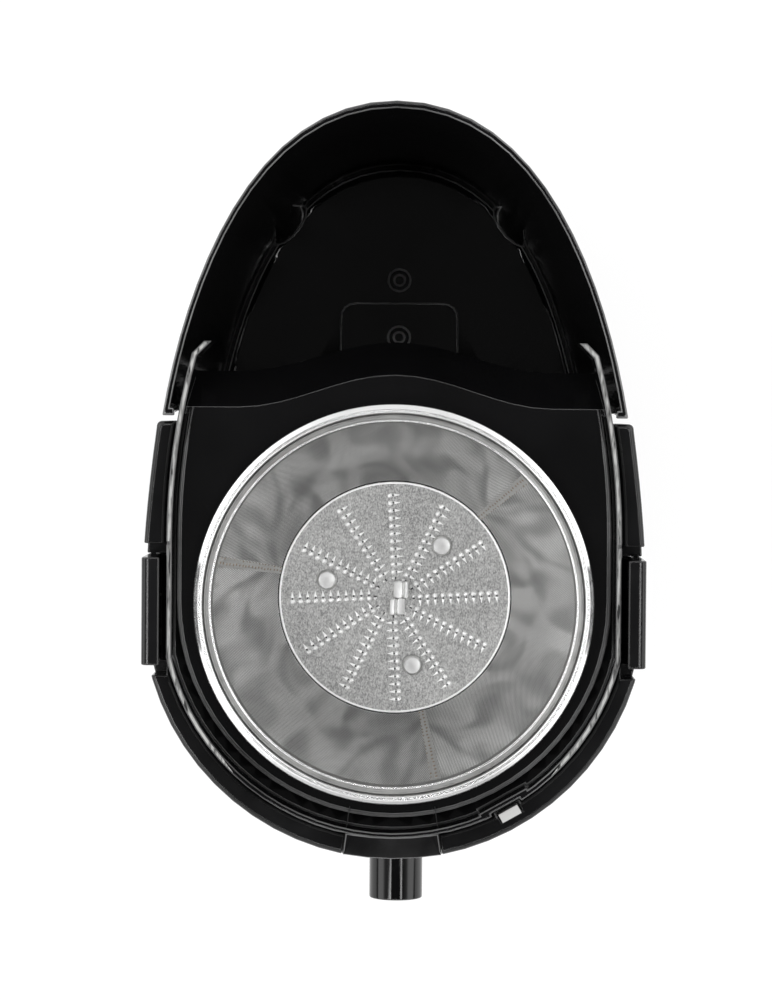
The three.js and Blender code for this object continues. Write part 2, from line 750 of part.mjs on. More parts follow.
function baseHousing() {
  const outside = joined([
    bodySolid(0, housingBottom, housingTop, 8),
    stack(platformOutline, [
      { height: housingBottom, inset: edgeRound },
      { height: housingBottom + edgeRound, inset: 0 },
      { height: platformTop - edgeRound, inset: 0 },
      { height: platformTop, inset: edgeRound },
    ], platformSteps),
    prism(roundedRectangle(keyHalfWidth, keyStartY, keyEndY, keyCorner), platformTop - 1, platformTop + keyHeight, 4),
  ]);
  const ribRadius = bodyRadius - bossRibWallDepth;
  const ribEnds = [bodyCentreY - Math.sqrt(ribRadius ** 2 - frontScrew.x ** 2), shoulderY - bossRibWallDepth];
  const bosses = [frontScrew, rearScrew].flatMap(({ x, y }, i) => mirroredX(joined([
    rod(bossRadius, basePlateTop + clearance, basePlateTop + bossHeight, { x, y, segments: 14 }),
    box(bossRibWidth, Math.abs(ribEnds[i] - y), basePlateTop + clearance, basePlateTop + bossHeight,
      x, (y + ribEnds[i]) / 2),
  ])));
  const kept = [
    rod(cupRadius, deckBottom, ledgeTop, { segments: 64 }),
    block([-spoutPocketHalfWidth, -bodyRadius, deckBottom], [spoutPocketHalfWidth, spoutPocketBackY, ledgeTop]),
    ...mirroredX(latchRecess(shellWall)),
    radialBlock(interlockAngle, wellRadius, bodyRadius, interlockSwitchWidth + 4,
      interlockShelfTop - interlockShelfThickness, interlockShelfTop),
    rodAlongY(switchSeatRadius, switchSeatY - switchSeatDepth, switchSeatY, { z: knobHeight }),
    ...bosses,
  ];
  const cavity = cutBy(bodySolid(shellWall, housingBottom - 1, ledgeTop - ledgeThickness, 5), kept);
  const platformCavity = stack(platformOutline, [
    { height: housingBottom - 1, inset: shellWall },
    { height: platformTop - shellWall, inset: shellWall },
  ], platformSteps);
  const upperOpening = stack((inset) => bandOutline(inset - 2 * clearance), [
    { height: ledgeTop, inset: 0 },
    { height: housingTop - 1.5, inset: 0 },
    { height: housingTop + 0.5, inset: -2 },
  ]).subtract(radialBlock(interlockAngle, interlockBlockRadius, bodyRadius + cutReach, interlockBlockWidth,
    ledgeTop - 1, housingTop + 1));
  const plungerHole = radialBlock(interlockAngle, interlockRadius - plungerDepth / 2 - clearance,
    interlockRadius + plungerDepth / 2 + clearance, plungerWidth + 2 * clearance,
    ledgeTop - ledgeThickness - 1, housingTop + 1);
  return cutBy(outside, [
    cavity,
    platformCavity,
    upperOpening,
    rod(wellSeatRadius, deckTop, housingTop + 1, { segments: 64 }),
    rod(sealRadius, deckBottom - 1, deckTop + 1),
    spoutBlockSolid(spoutBlockGap, cutReach),
    plungerHole,
    rodAlongY(knobShaftRadius + clearance, -bodyRadius - cutReach, switchSeatY + 1, { z: knobHeight }),
    solid(new THREE.CylinderGeometry(inletRadius + clearance, inletRadius + clearance, 40, 16)
      .rotateZ(Math.PI / 2).translate(-bodyRadius, inletY, inletHeight)),
    ...mirroredX(latchRecess(0)),
    ...mirroredX(latchLugRecess(0)),
    ...mirroredX(rodAlongY(latchPinRadius + clearance, latchStart - latchLugWidth - 0.5,
      latchEnd + latchLugWidth + 0.5, { x: latchPivotX, z: latchPivotHeight })),
    ...[frontScrew, rearScrew].flatMap(({ x, y }) => mirroredX(
      rod(screwRadius + clearance, 0, basePlateTop + screwLength, { x, y, segments: 8 }))),
    ...mountHoles(mountHoleRadius, deckBottom - 1, deckTop - 1),
  ]);
}

// ---------------------------------------------------------------- base plate and feet

function basePlate() {
  const inset = shellWall + edgeRound + clearance;
  const plate = joined([
    prism(bodyOutline(inset), basePlateBottom, basePlateTop, 6),
    prism(platformOutline(shellWall + clearance), basePlateBottom, basePlateTop, platformSteps),
  ]);
  const holes = [
    ...[frontScrew, rearScrew].flatMap(({ x, y }) => mirroredX(
      rod(screwRadius + clearance, 0, basePlateTop + 1, { x, y, segments: 8 }))),
    ...[frontFoot, rearFoot].flatMap(({ x, y }) => mirroredX(
      rod(footStubRadius + clearance, 0, basePlateTop + 1, { x, y, segments: 8 }))),
    ...Array.from({ length: ventSlots }, (_, i) => box(ventWidth, ventLength, 0, basePlateTop + 1,
      (i - (ventSlots - 1) / 2) * ventPitch)),
  ];
  return cutBy(plate, holes);
}

function foot({ x, y }) {
  const under = basePlateBottom - clearance;
  return joined([
    rod(footRadius - footChamfer, 0, 1, { topRadius: footRadius, segments: 14 }),
    rod(footRadius, 1, under, { segments: 14 }),
    rod(footStubRadius, under - 0.5, basePlateTop, { segments: 8 }),
  ]).translate([x, y, 0]);
}

function plateScrew({ x, y }) {
  const under = basePlateBottom - clearance;
  return joined([
    rod(screwHeadRadius, under - screwHeadHeight, under, { segments: 8 }),
    rod(screwRadius, under - 0.5, basePlateTop + screwLength - 1, { segments: 6 }),
  ]).translate([x, y, 0]);
}

// ---------------------------------------------------------------- juice bowl

function rampSkin() {
  const rings = stationsAcross(bandHalfWidth - bandWall / 2).map((x) => {
    const [front, back] = [plateEdgeY(x), rampEdgeY(x)];
    const at = (y, z) => new THREE.Vector3(x, y, z);
    const middle = (front + back) / 2;
    return [
      at(front - shellWall, plateTop),
      at(front - shellWall, plateBottom),
      at(middle - rampThickness, rampMiddleHeight - rampThickness),
      at(back - rampThickness, rampBackHeight - rampThickness / 2),
      at(back, rampBackHeight),
      at(middle, rampMiddleHeight),
      at(front, plateTop),
    ];
  });
  const between = joined([
    prism(bandOutline(bandWall / 2), 0, bandTop, 8),
    block([-swellHalfWidth, plateBackY, 0], [swellHalfWidth, rampBackY + rampBackSwell + 1, bandTop]),
  ]);
  return loft(rings, (point) => new THREE.Vector2(point.y, point.z)).intersect(between);
}

// The spout's block: its top falls from the band to just under the housing's edge.
function spoutBlock() {
  const high = new THREE.Vector3(0, -bandRadius + bandWall / 2, bandTop - edgeRound);
  const low = new THREE.Vector3(0, bodyCentreY - bodyRadius, housingTop - spoutBlockDrop);
  const slope = new THREE.Vector3(0, high.z - low.z, low.y - high.y).normalize();
  return spoutBlockSolid(0, 0)
    .trimByPlane(slope.toArray(), slope.dot(high))
    .intersect(prism(bodyOutline(0), 0, bandTop, 8));
}

function bandSlit(y) {
  return block([bandHalfWidth - bandWall / 2, y - bandSlitWidth / 2, bandTop - bandSlitDepth],
    [bandHalfWidth + 1, y + bandSlitWidth / 2, bandTop + 1]);
}

function juiceBowl() {
  const notchWall = radialBlock(interlockAngle, interlockNotchRadius - bandWall, bandRadius + cutReach,
    interlockNotchWidth + 4 * bandWall, 0, bandTop + cutReach);
  const notch = radialBlock(interlockAngle, interlockNotchRadius, bandRadius + cutReach, interlockNotchWidth,
    0, bandTop + cutReach);
  const inside = cutBy(prism(bandOutline(bandWall, cutReach), bandBottom - 1, bandTop + 1, 8), [notchWall]);
  const aboveGroove = cutBy(prism(bandOutline(bandWall, cutReach), grooveBottom, bandTop + 1, 8), [notchWall]);
  const behind = prism(gapOutline(), 0, bandTop + 1);
  const band = cutBy(prism(bandOutline(0), bandBottom, bandTop, 8), [
    inside,
    ...bandSlitsY.flatMap((y) => mirroredX(bandSlit(y))),
  ]);
  const plate = cutBy(prism(plateOutline(0), grooveUnder, plateTop, 8), [
    prism(plateOutline(plateSkirt), 0, plateBottom, 8),
    behind,
  ]);
  const grooveFloor = cutBy(prism(bandOutline(bandWall / 2), grooveUnder, grooveBottom, 8), [
    prism(plateOutline(plateSkirt / 2), 0, bandTop, 8),
    behind,
  ]);
  const bead = cutBy(prism(plateOutline(0), plateTop - 0.5, plateTop + beadHeight, 8), [
    prism(plateOutline(beadWidth), 0, bandTop, 8),
    behind,
  ]);
  const front = cutBy(spoutBlock(), [aboveGroove]);
  const tube = rodAlongY(spoutOuterRadius, spoutTipY, -wellRadius + 1,
    { x: spoutShift, z: spoutHeight, segments: 32 });
  const rake = block([-20, -20, -40], [20, 0, 0]).rotate([-spoutTipAngle, 0, 0])
    .translate([0, spoutTipY + spoutTipRake, spoutHeight - spoutOuterRadius]);
  const innerSpace = rod(wellRadius - shellWall, bowlFloorTop, plateBottom, { segments: 64 });
  const shell = cutBy(joined([band, plate, grooveFloor, bead, rampSkin(), front, tube]), [innerSpace]);
  const well = rod(wellRadius, bowlBottom, plateTop - 0.5, { segments: 64 }).subtract(innerSpace);
  const collar = rod(collarInnerRadius + collarWall, bowlBottom, collarTop, { segments: 32 });
  return cutBy(joined([shell, well, collar]), [
    notch,
    rake,
    rod(plateHoleRadius, plateBottom - 1, plateTop + 1, { segments: 64 }),
    rod(collarInnerRadius, 0, collarTop + 1, { segments: 32 }),
    rodAlongY(spoutBoreRadius, spoutTipY - 1, -wellRadius + shellWall + spoutBoreReach,
      { x: spoutShift, z: spoutHeight, segments: 24 }),
  ]);
}

// ---------------------------------------------------------------- filter basket

const rimSeat = plateTop + 2 * clearance;

function basketRim() {
  const profile = [
    [rimInnerRadius, rimSeat],
    [rimRadius, rimSeat],
    [rimRadius, rimTop - 1.4],
    [rimRadius - 0.6, rimTop - 0.3],
    [rimRadius - 1.6, rimTop],
    [rimRadius - 3.3, rimTop - 0.1],
    [rimInnerRadius + 1.4, rimTop - 3.4],
    [rimInnerRadius + 0.2, rimTop - 5.4],
  ];
  return turned([...profile, profile[0]]);
}

const sieveBottom = discTop + 0.7;
const sieveBottomRadius = discRadius + clearance;

function sieve() {
  const top = rimSeat - clearance;
  const profile = [
    [sieveBottomRadius, sieveBottom],
    [sieveBottomRadius + sieveWall, sieveBottom],
    [sieveTopRadius + sieveWall, top],
    [sieveTopRadius, top],
  ];
  return turned([...profile, profile[0]]);
}

function lowerRing() {
  const inner = discRadius + clearance;
  const top = sieveBottom - clearance;
  return ring(inner, inner + lowerRingWall, top - lowerRingHeight, top, 48);
}

// A cutting tooth stands on the disc, its narrow end pointing the way the basket turns.
function tooth(radius, angle) {
  const geometry = new THREE.ConeGeometry(toothHalfWidth, toothHeight + 0.4, 3);
  geometry.rotateX(Math.PI / 2);
  geometry.rotateZ(Math.PI);
  geometry.scale(1, toothStretch, 1);
  geometry.translate(radius, 0, discTop + (toothHeight - 0.4) / 2);
  return solid(geometry).rotate([0, 0, angle]);
}

function centreBlade(side) {
  const blade = new THREE.Shape();
  blade.moveTo(0, -0.5);
  blade.lineTo(centreBladeLength, -0.5);
  blade.lineTo(centreBladeLength, centreBladeHeight * 0.4);
  blade.quadraticCurveTo(centreBladeLength * 0.8, centreBladeHeight, centreBladeLength * 0.25, centreBladeHeight);
  blade.lineTo(0, centreBladeHeight * 0.5);
  const depth = centreBladeThickness;
  const geometry = new THREE.ExtrudeGeometry(blade, { depth, bevelEnabled: false, curveSegments: 4 });
  geometry.rotateX(Math.PI / 2);
  geometry.translate(0, centreBladeThickness + 0.8, discTop);
  return solid(geometry).rotate([0, 0, side]);
}

function graterDisc() {
  const teeth = around(toothRows, toothRowTurn, (angle) => Array.from({ length: teethPerRow },
    (_, i) => tooth(firstToothRadius + i * toothPitch, angle))).flat();
  const disc = rod(discRadius, discBottom, discTop, { segments: 60 });
  const rivetHoles = rivetAngles.map((angle) => rod(rivetShankRadius + clearance, discBottom - 1, discTop + 1,
    { x: rivetCircleRadius, segments: 8 }).rotate([0, 0, angle]));
  return cutBy(joined([disc, ...teeth, ...around(2, centreBladeAngle, centreBlade)]), rivetHoles);
}

function lobes(coreRadius, reach, width, bottom, top) {
  return joined([rod(coreRadius, bottom, top, { segments: 16 }),
    ...around(couplingLobes, 90, (angle) => radialBlock(angle, 0, reach, width, bottom, top))]);
}

function basketHub() {
  const body = joined([
    rod(hubFlangeRadius, hubFlangeBottom, hubFlangeTop, { segments: 32 }),
    rod(hubBossRadius, hubBottom, hubFlangeBottom + 0.5, { segments: 20 }),
  ]);
  return cutBy(body, [
    lobes(couplingCoreRadius + clearance, couplingLobeReach + clearance, couplingLobeWidth + 2 * clearance,
      hubBottom - 1, couplingTop + clearance),
    ...rivetAngles.map((angle) => rod(rivetShankRadius + clearance, hubFlangeBottom - 1, hubFlangeTop + 1,
      { x: rivetCircleRadius, segments: 8 }).rotate([0, 0, angle])),
  ]);
}

function rivet(angle) {
  const seat = discTop + clearance;
  return joined([
    rod(rivetHeadRadius, seat, seat + rivetHeadHeight * 0.5, { segments: 12 }),
    rod(rivetHeadRadius, seat + rivetHeadHeight * 0.5, seat + rivetHeadHeight,
      { segments: 12, topRadius: rivetHeadRadius - rivetHeadChamfer }),
    rod(rivetShankRadius, hubFlangeBottom, seat + 0.2, { segments: 8 }),
  ]).translate([rivetCircleRadius, 0, 0]).rotate([0, 0, angle]);
}

// ---------------------------------------------------------------- pulp container

// A grip flute pressed into the container's back corner; a larger grow gives its inner wall.
function flute(grow) {
  return joined([
    rod(fluteBottomRadius + grow, binBottom - 1, fluteTop, { topRadius: fluteTopRadius + grow, segments: 24 }),
    rod(fluteTopRadius + grow, fluteTop, fluteTop + fluteTipLength, { topRadius: 0.5, segments: 24 }),
  ]).translate([fluteX, fluteY, 0]);
}

function keyRecess(grow) {
  return prism(roundedRectangle(recessHalfWidth + grow, binFrontY - 5, recessEndY + grow, keyCorner + grow),
    0, recessTop + grow, 4);
}

// A round moulding mark with a dimple, standing on the container's floor.
function gate(y, floor) {
  return rod(gateRadius, floor - 1, floor + gateHeight, { y, segments: 20 })
    .subtract(rod(gateDimpleRadius, floor, floor + gateHeight + 1, { y, segments: 12 }));
}

function pulpContainer() {
  const bodyInset = binRimOverhang;
  const outside = stack(binOutline, [
    { height: binBottom, inset: bodyInset + binDraft + binBottomRound },
    { height: binBottom + binBottomRound, inset: bodyInset + binDraft },
    { height: binTop - binRimHeight - 1, inset: bodyInset },
    { height: binTop - binRimHeight, inset: 0 },
    { height: binTop - binRimRound, inset: 0 },
    { height: binTop - binRimRound * 0.3, inset: binRimRound * 0.3 },
    { height: binTop, inset: binRimRound },
  ], binSteps);
  const floorInset = bodyInset + binDraft + binWall;
  const space = stack(binOutline, [
    { height: binFloor, inset: floorInset + binFloorRound },
    { height: binFloor + binFloorRound * 0.3, inset: floorInset + binFloorRound * 0.3 },
    { height: binFloor + binFloorRound, inset: floorInset },
    { height: binTop + 1, inset: bodyInset + binWall },
  ], binSteps);
  const inside = cutBy(space, [keyRecess(padWall), ...mirroredX(flute(binWall))]);
  const openHalf = binHalfWidth - binRimEndWidth;
  const frontWall = bodyInset + binWall + 1;
  const frontOpening = joined([
    block([-openHalf, binFrontY - 5, binFrontTop], [openHalf, binFrontY + frontWall, binTop + 1]),
    rod(binNestRadius + frontWall, binFrontTop, binTop + 1, { segments: 48 }),
  ]);
  const container = cutBy(outside, [inside, keyRecess(0), ...mirroredX(flute(0)), frontOpening]);
  return joined([container, gate(recessEndY + gateReach, binFloor), gate(recessEndY - gateReach, recessTop + padWall)]);
}

// ---------------------------------------------------------------- latches

function latch() {
  const armInnerX = latchOuterX - latchArmThickness;
  const profile = new THREE.Shape();
  profile.moveTo(armInnerX, latchPivotHeight);
  profile.lineTo(latchOuterX, latchPivotHeight);
  profile.lineTo(latchOuterX, latchTop - 3);
  profile.quadraticCurveTo(latchOuterX, latchTop, latchOuterX - 3, latchTop);
  profile.lineTo(armInnerX - latchHookReach, latchTop);
  profile.lineTo(armInnerX - latchHookReach, latchTop - latchHookHeight + 2);
  profile.lineTo(armInnerX, latchTop - latchHookHeight);
  const arm = new THREE.ExtrudeGeometry(profile, { depth: latchWidth, bevelEnabled: false, curveSegments: 6 });
  arm.rotateX(Math.PI / 2);
  arm.translate(0, latchEnd, 0);
  const barrel = rodAlongY(latchBarrelRadius, latchStart, latchEnd, { x: latchPivotX, z: latchPivotHeight });
  return cutBy(joined([solid(arm), barrel]), [
    rodAlongY(latchPinRadius + clearance, latchStart - 1, latchEnd + 1, { x: latchPivotX, z: latchPivotHeight }),
  ]);
}

const latchPin = () => rodAlongY(latchPinRadius, latchStart - latchLugWidth, latchEnd + latchLugWidth,
  { x: latchPivotX, z: latchPivotHeight, segments: 16 });

// ---------------------------------------------------------------- interlock

function interlockPlunger() {
  const inner = interlockRadius - plungerDepth / 2;
  const outer = interlockRadius + plungerDepth / 2;
  return joined([
    radialBlock(interlockAngle, inner, outer, plungerWidth, plungerBottom, plungerTop),
    radialBlock(interlockAngle, inner - plungerFlangeInward, outer, plungerWidth + 2 * plungerFlangeExtra,
      plungerBottom, plungerBottom + plungerFlangeThickness),
  ]);
}

class Helix extends THREE.Curve {
  getPoint(t, target = new THREE.Vector3()) {
    const angle = t * interlockSpringTurns * 2 * Math.PI;
    const height = interlockWire + t * (interlockSpringLength - 2 * interlockWire);
    const radius = interlockSpringRadius - interlockWire;
    return target.set(radius * Math.cos(angle), radius * Math.sin(angle), height);
  }
}

function interlockSpring() {
  const section = new THREE.Shape();
  section.absarc(0, 0, interlockWire, 0, 2 * Math.PI, false);
  const geometry = new THREE.ExtrudeGeometry(section, {
    extrudePath: new Helix(), steps: interlockSpringTurns * 6, curveSegments: 2,
  });
  return solid(geometry).translate([interlockRadius - interlockSpringOffset, 0, springBottom])
    .rotate([0, 0, interlockAngle]);
}

function interlockSwitch() {
  return radialBlock(interlockAngle, interlockSwitchRadius - interlockSwitchDepth / 2,
    interlockSwitchRadius + interlockSwitchDepth / 2, interlockSwitchWidth, interlockSwitchBottom, interlockSwitchTop);
}

// ---------------------------------------------------------------- speed knob, switch, cable inlet

const knobBackY = bodyCentreY - bodyRadius + bodyInsetAt(knobHeight - knobRadius) - 2 * clearance;

function speedKnob() {
  const cap = rodAlongY(knobRadius, knobBackY - knobDepth, knobBackY, { segments: 24 });
  const grips = Array.from({ length: knobFlutes }, (_, i) => {
    const angle = (i * 2 * Math.PI) / knobFlutes;
    const reach = knobRadius + knobFluteReach;
    return rodAlongY(knobFluteRadius, knobBackY - knobDepth - 1, knobBackY - knobSkirt,
      { x: reach * Math.cos(angle), z: reach * Math.sin(angle), segments: 8 });
  });
  const spindle = rodAlongY(knobShaftRadius, knobBackY - 1, switchSeatY + knobSpindleReach, { segments: 16 });
  return cutBy(joined([cap, spindle]), grips).translate([0, 0, knobHeight]);
}

function rotarySwitch() {
  const front = switchSeatY + clearance;
  const body = block([-switchSize / 2, front, -switchSize / 2], [switchSize / 2, front + switchDepth, switchSize / 2]);
  const bore = rodAlongY(knobShaftRadius + clearance, front - 1, switchSeatY + knobSpindleReach + clearance,
    { segments: 16 });
  return body.subtract(bore).translate([0, 0, knobHeight]);
}

function cableInlet() {
  const wallX = -(bodyRadius - bodyInsetAt(inletHeight));
  const outerX = wallX - inletProud + inletSideCurve;
  const length = shellWall + inletProud + inletInside;
  const along = (radius, from, to) => solid(new THREE.CylinderGeometry(radius, radius, to - from, 16)
    .rotateZ(Math.PI / 2).translate((from + to) / 2, inletY, inletHeight));
  return along(inletRadius, outerX, outerX + length).subtract(along(inletBoreRadius, outerX - 1, outerX + length + 1));
}

// ---------------------------------------------------------------- motor

const shaft = () => rod(shaftRadius, shaftBottom, shaftTop, { segments: 16 });
const shaftHole = (bottom, top) => rod(shaftRadius + clearance, bottom, top, { segments: 16 });

function armature() {
  const radius = stackBore - airGap;
  const turnRadius = radius - 4;
  const core = rod(radius, stackBottom, stackTop, { segments: 24 });
  const slots = around(armatureSlots, 0, (angle) => radialBlock(angle, radius - 5, radius + 1, 2.2,
    stackBottom - 1, stackTop + 1));
  const turns = [
    rod(turnRadius - 2, stackBottom - endTurnHeight, stackBottom + 1, { topRadius: turnRadius, segments: 18 }),
    rod(turnRadius, stackTop - 1, stackTop + endTurnHeight, { topRadius: turnRadius - 2, segments: 18 }),
  ];
  return cutBy(joined([cutBy(core, slots), ...turns]), [shaftHole(0, deckTop)]);
}

function commutator() {
  return rod(commutatorRadius, commutatorBottom, commutatorBottom + commutatorHeight)
    .subtract(shaftHole(0, deckTop));
}

function stator() {
  const coilSlots = corners(1, 1).map(([sx, sy]) => {
    const [x, y] = [sx * (coilInnerHalfWidth + coilSide / 2), sy * (coilStartY + coilDepth / 2)];
    return box(coilSide + 2 * clearance, coilDepth + 2 * clearance, stackBottom - 1, stackTop + 1, x, y);
  });
  return cutBy(prism(roundedSquare(stackHalfWidth, stackCorner), stackBottom, stackTop, 3), [
    rod(stackBore, stackBottom - 1, stackTop + 1, { segments: 20 }),
    ...coilSlots,
  ]);
}

// A field coil: a rectangular loop that passes through the stator's slots and over both its ends.
function fieldCoil() {
  const [inner, outer] = [coilInnerHalfWidth, coilInnerHalfWidth + coilSide];
  const [low, high] = [stackBottom - clearance, stackTop + clearance];
  return block([-outer, coilStartY, low - coilSide], [outer, coilStartY + coilDepth, high + coilSide])
    .subtract(block([-inner, coilStartY - 1, low], [inner, coilStartY + coilDepth + 1, high]));
}

const pillars = (bottom, top) => corners(pillarOffset, pillarOffset).map(([x, y]) => rod(pillarRadius, bottom, top,
  { x, y, segments: 6 }));

const mountHoles = (radius, bottom, top) => around(4, 0, (angle) => rod(radius, bottom, top,
  { x: mountCircleRadius, segments: 8 }).rotate([0, 0, angle]));

function upperBracket() {
  const bossBottom = upperBracketBottom - bearingThickness - 1.5;
  return cutBy(joined([
    rod(bracketRadius, upperBracketBottom, upperBracketTop, { segments: 20 }),
    rod(bearingBossRadius, bossBottom, upperBracketBottom + 0.5, { segments: 16 }),
    ...pillars(stackTop + clearance, upperBracketBottom + 0.5),
  ]), [
    rod(bearingRadius + clearance, bossBottom - 1, upperBracketBottom - 0.6, { segments: 16 }),
    rod(bracketHoleRadius, 0, deckTop),
    ...mountHoles(screwRadius + 2 * clearance, 0, deckTop),
  ]);
}

const upperBearingBottom = upperBracketBottom - 0.9 - bearingThickness;
const lowerBearingBottom = lowerBracketBottom - 0.9 - bearingThickness;

function bearing(bottom) {
  return ring(shaftRadius + clearance, bearingRadius, bottom, bottom + bearingThickness, 16);
}

const brushHolderStart = commutatorRadius + 3;
const holderHalf = {
  width: brushWidth / 2 + clearance + brushHolderWall,
  height: brushHeight / 2 + clearance + brushHolderWall,
};

function lowerBracket() {
  const bossBottom = lowerBracketBottom - bearingThickness - 1.5;
  const postX = brushHolderStart + brushHolderLength / 2;
  return cutBy(joined([
    rod(bracketRadius, lowerBracketBottom, lowerBracketTop, { segments: 20 }),
    rod(bearingBossRadius, bossBottom, lowerBracketBottom + 0.5, { segments: 16 }),
    ...pillars(lowerBracketTop - 0.5, stackBottom - clearance),
    ...mirroredX(box(brushHolderLength - brushPostShort, brushWidth, lowerBracketTop - 0.5,
      brushCentreHeight - holderHalf.height - clearance, postX)),
  ]), [
    rod(bearingRadius + clearance, bossBottom - 1, lowerBracketBottom - 0.6, { segments: 16 }),
    rod(bracketHoleRadius, 0, deckTop),
    ...around(2, 90, (angle) => radialBlock(angle, bracketWindowInner, bracketWindowOuter, bracketWindowWidth,
      lowerBracketBottom - 1, lowerBracketTop + 1)),
  ]);
}

function brushHolder() {
  const { width, height } = holderHalf;
  const end = brushHolderStart + brushHolderLength;
  return block([brushHolderStart, -width, brushCentreHeight - height], [end, width, brushCentreHeight + height])
    .subtract(block(
      [brushHolderStart - 1, -brushWidth / 2 - clearance, brushCentreHeight - brushHeight / 2 - clearance],
      [end + 1, brushWidth / 2 + clearance, brushCentreHeight + brushHeight / 2 + clearance],
    ));
}

function brush() {
  const start = commutatorRadius + clearance;
  return block([start, -brushWidth / 2, brushCentreHeight - brushHeight / 2],
    [start + brushLength, brushWidth / 2, brushCentreHeight + brushHeight / 2]);
}

function fan() {
  const bottom = shaftBottom + 1;
  const top = bottom + fanHeight;
  return joined([
    rod(fanHubRadius, bottom, top, { segments: 12 }),
    rod(fanRadius, top - fanThickness, top, { segments: 20 }),
    ...around(fanBlades, 0, (angle) => radialBlock(angle, fanHubRadius - 1, fanRadius - 1, fanThickness,
      bottom, top - 0.5)),
  ]).subtract(shaftHole(0, deckTop));
}

function rubberMount() {
  return ring(screwRadius + 2 * clearance, rubberMountRadius, upperBracketTop + clearance, deckBottom - clearance, 12)
    .translate([mountCircleRadius, 0, 0]);
}

function motorScrew() {
  const under = upperBracketBottom - clearance;
  return joined([
    rod(screwHeadRadius, under - 2, under, { segments: 8 }),
    rod(screwRadius, under - 0.5, deckTop - 1 - clearance, { segments: 6 }),
  ]).translate([mountCircleRadius, 0, 0]);
}

const shaftSeal = () => ring(shaftRadius + clearance, sealRadius - clearance, deckBottom, deckTop, 12);

function driveCoupling() {
  const body = joined([
    rod(couplingFlangeRadius, couplingBottom, couplingBottom + couplingFlangeThickness, { segments: 20 }),
    lobes(couplingCoreRadius, couplingLobeReach, couplingLobeWidth, couplingBottom, couplingTop),
  ]);
  return body.subtract(shaftHole(0, shaftTop + clearance));
}

// ---------------------------------------------------------------- assembly

const blackPlastic = { color: 0x141414, roughness: 0.45, metalness: 0 };
const glossPlastic = { color: 0x101010, roughness: 0.2, metalness: 0 };
const greyPlastic = { color: 0xc8c8c6, roughness: 0.45, metalness: 0 };
const polishedSteel = { color: 0xe6e6e6, roughness: 0.12, metalness: 1 };
const satinSteel = { color: 0xa2a4a4, roughness: 0.4, metalness: 1 };
const springSteel = { color: 0x9a9a9a, roughness: 0.35, metalness: 1 };
const laminatedSteel = { color: 0x6c6e70, roughness: 0.5, metalness: 1 };
const copper = { color: 0xb0683a, roughness: 0.4, metalness: 1 };
const castAlloy = { color: 0xa8aaac, roughness: 0.55, metalness: 1 };
const rubber = { color: 0x1c1c1c, roughness: 0.85, metalness: 0 };
const carbon = { color: 0x2a2a2a, roughness: 0.7, metalness: 0 };

const juicer = new THREE.Group();
juicer.position.y = -frontCentreShift;

function addPiece(name, body, finish) {
  const { vertProperties, triVerts } = body.getMesh();
  const geometry = new THREE.BufferGeometry();
  geometry.setAttribute('position', new THREE.BufferAttribute(vertProperties, 3));
  geometry.setIndex(new THREE.BufferAttribute(triVerts, 1));
  geometry.computeVertexNormals();
  const mesh = new THREE.Mesh(geometry, new THREE.MeshStandardMaterial(finish));
  mesh.name = name;
  juicer.add(mesh);
}

function addPair(name, body, finish) {
  const [right, left] = mirroredX(body);
  addPiece(`${name}_right`, right, finish);
  addPiece(`${name}_left`, left, finish);
}

addPiece('base_housing', baseHousing(), blackPlastic);
addPiece('base_plate', basePlate(), blackPlastic);
addPair('front_foot', foot(frontFoot), rubber);
addPair('rear_foot', foot(rearFoot), rubber);
addPair('front_plate_screw', plateScrew(frontScrew), springSteel);
addPair('rear_plate_screw', plateScrew(rearScrew), springSteel);

addPiece('juice_bowl', juiceBowl(), glossPlastic);
addPiece('basket_rim', basketRim(), polishedSteel);
addPiece('sieve_wall', sieve(), satinSteel);
addPiece('lower_basket_ring', lowerRing(), polishedSteel);
addPiece('grater_disc', graterDisc(), satinSteel);
addPiece('basket_hub', basketHub(), blackPlastic);
rivetAngles.forEach((angle, i) => addPiece(`rivet_${i + 1}`, rivet(angle), satinSteel));

addPiece('pulp_container', pulpContainer(), glossPlastic);
addPair('latch', latch(), blackPlastic);
addPair('latch_pin', latchPin(), springSteel);

addPiece('interlock_plunger', interlockPlunger(), greyPlastic);
addPiece('interlock_spring', interlockSpring(), springSteel);
addPiece('interlock_switch', interlockSwitch(), blackPlastic);
addPiece('speed_knob', speedKnob(), blackPlastic);
addPiece('rotary_switch', rotarySwitch(), blackPlastic);
addPiece('cable_inlet', cableInlet(), rubber);

addPiece('drive_coupling', driveCoupling(), blackPlastic);
addPiece('motor_shaft', shaft(), springSteel);
addPiece('armature', armature(), laminatedSteel);
addPiece('commutator', commutator(), copper);
addPiece('cooling_fan', fan(), blackPlastic);
addPiece('shaft_seal', shaftSeal(), rubber);
addPiece('stator', stator(), laminatedSteel);
addPiece('field_coil_back', fieldCoil(), copper);
addPiece('field_coil_front', fieldCoil().mirror([0, 1, 0]), copper);
addPiece('upper_bracket', upperBracket(), castAlloy);
addPiece('lower_bracket', lowerBracket(), castAlloy);
addPiece('upper_bearing', bearing(upperBearingBottom), springSteel);
addPiece('lower_bearing', bearing(lowerBearingBottom), springSteel);
addPair('brush_holder', brushHolder(), carbon);
addPair('brush', brush(), carbon);
for (const [i, angle] of [0, 90, 180, 270].entries()) {
  addPiece(`rubber_mount_${i + 1}`, rubberMount().rotate([0, 0, angle]), rubber);
  addPiece(`motor_screw_${i + 1}`, motorScrew().rotate([0, 0, angle]), springSteel);
}

export default juicer;
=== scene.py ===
import json
import math
import bmesh
import bpy
from mathutils import Matrix, Vector


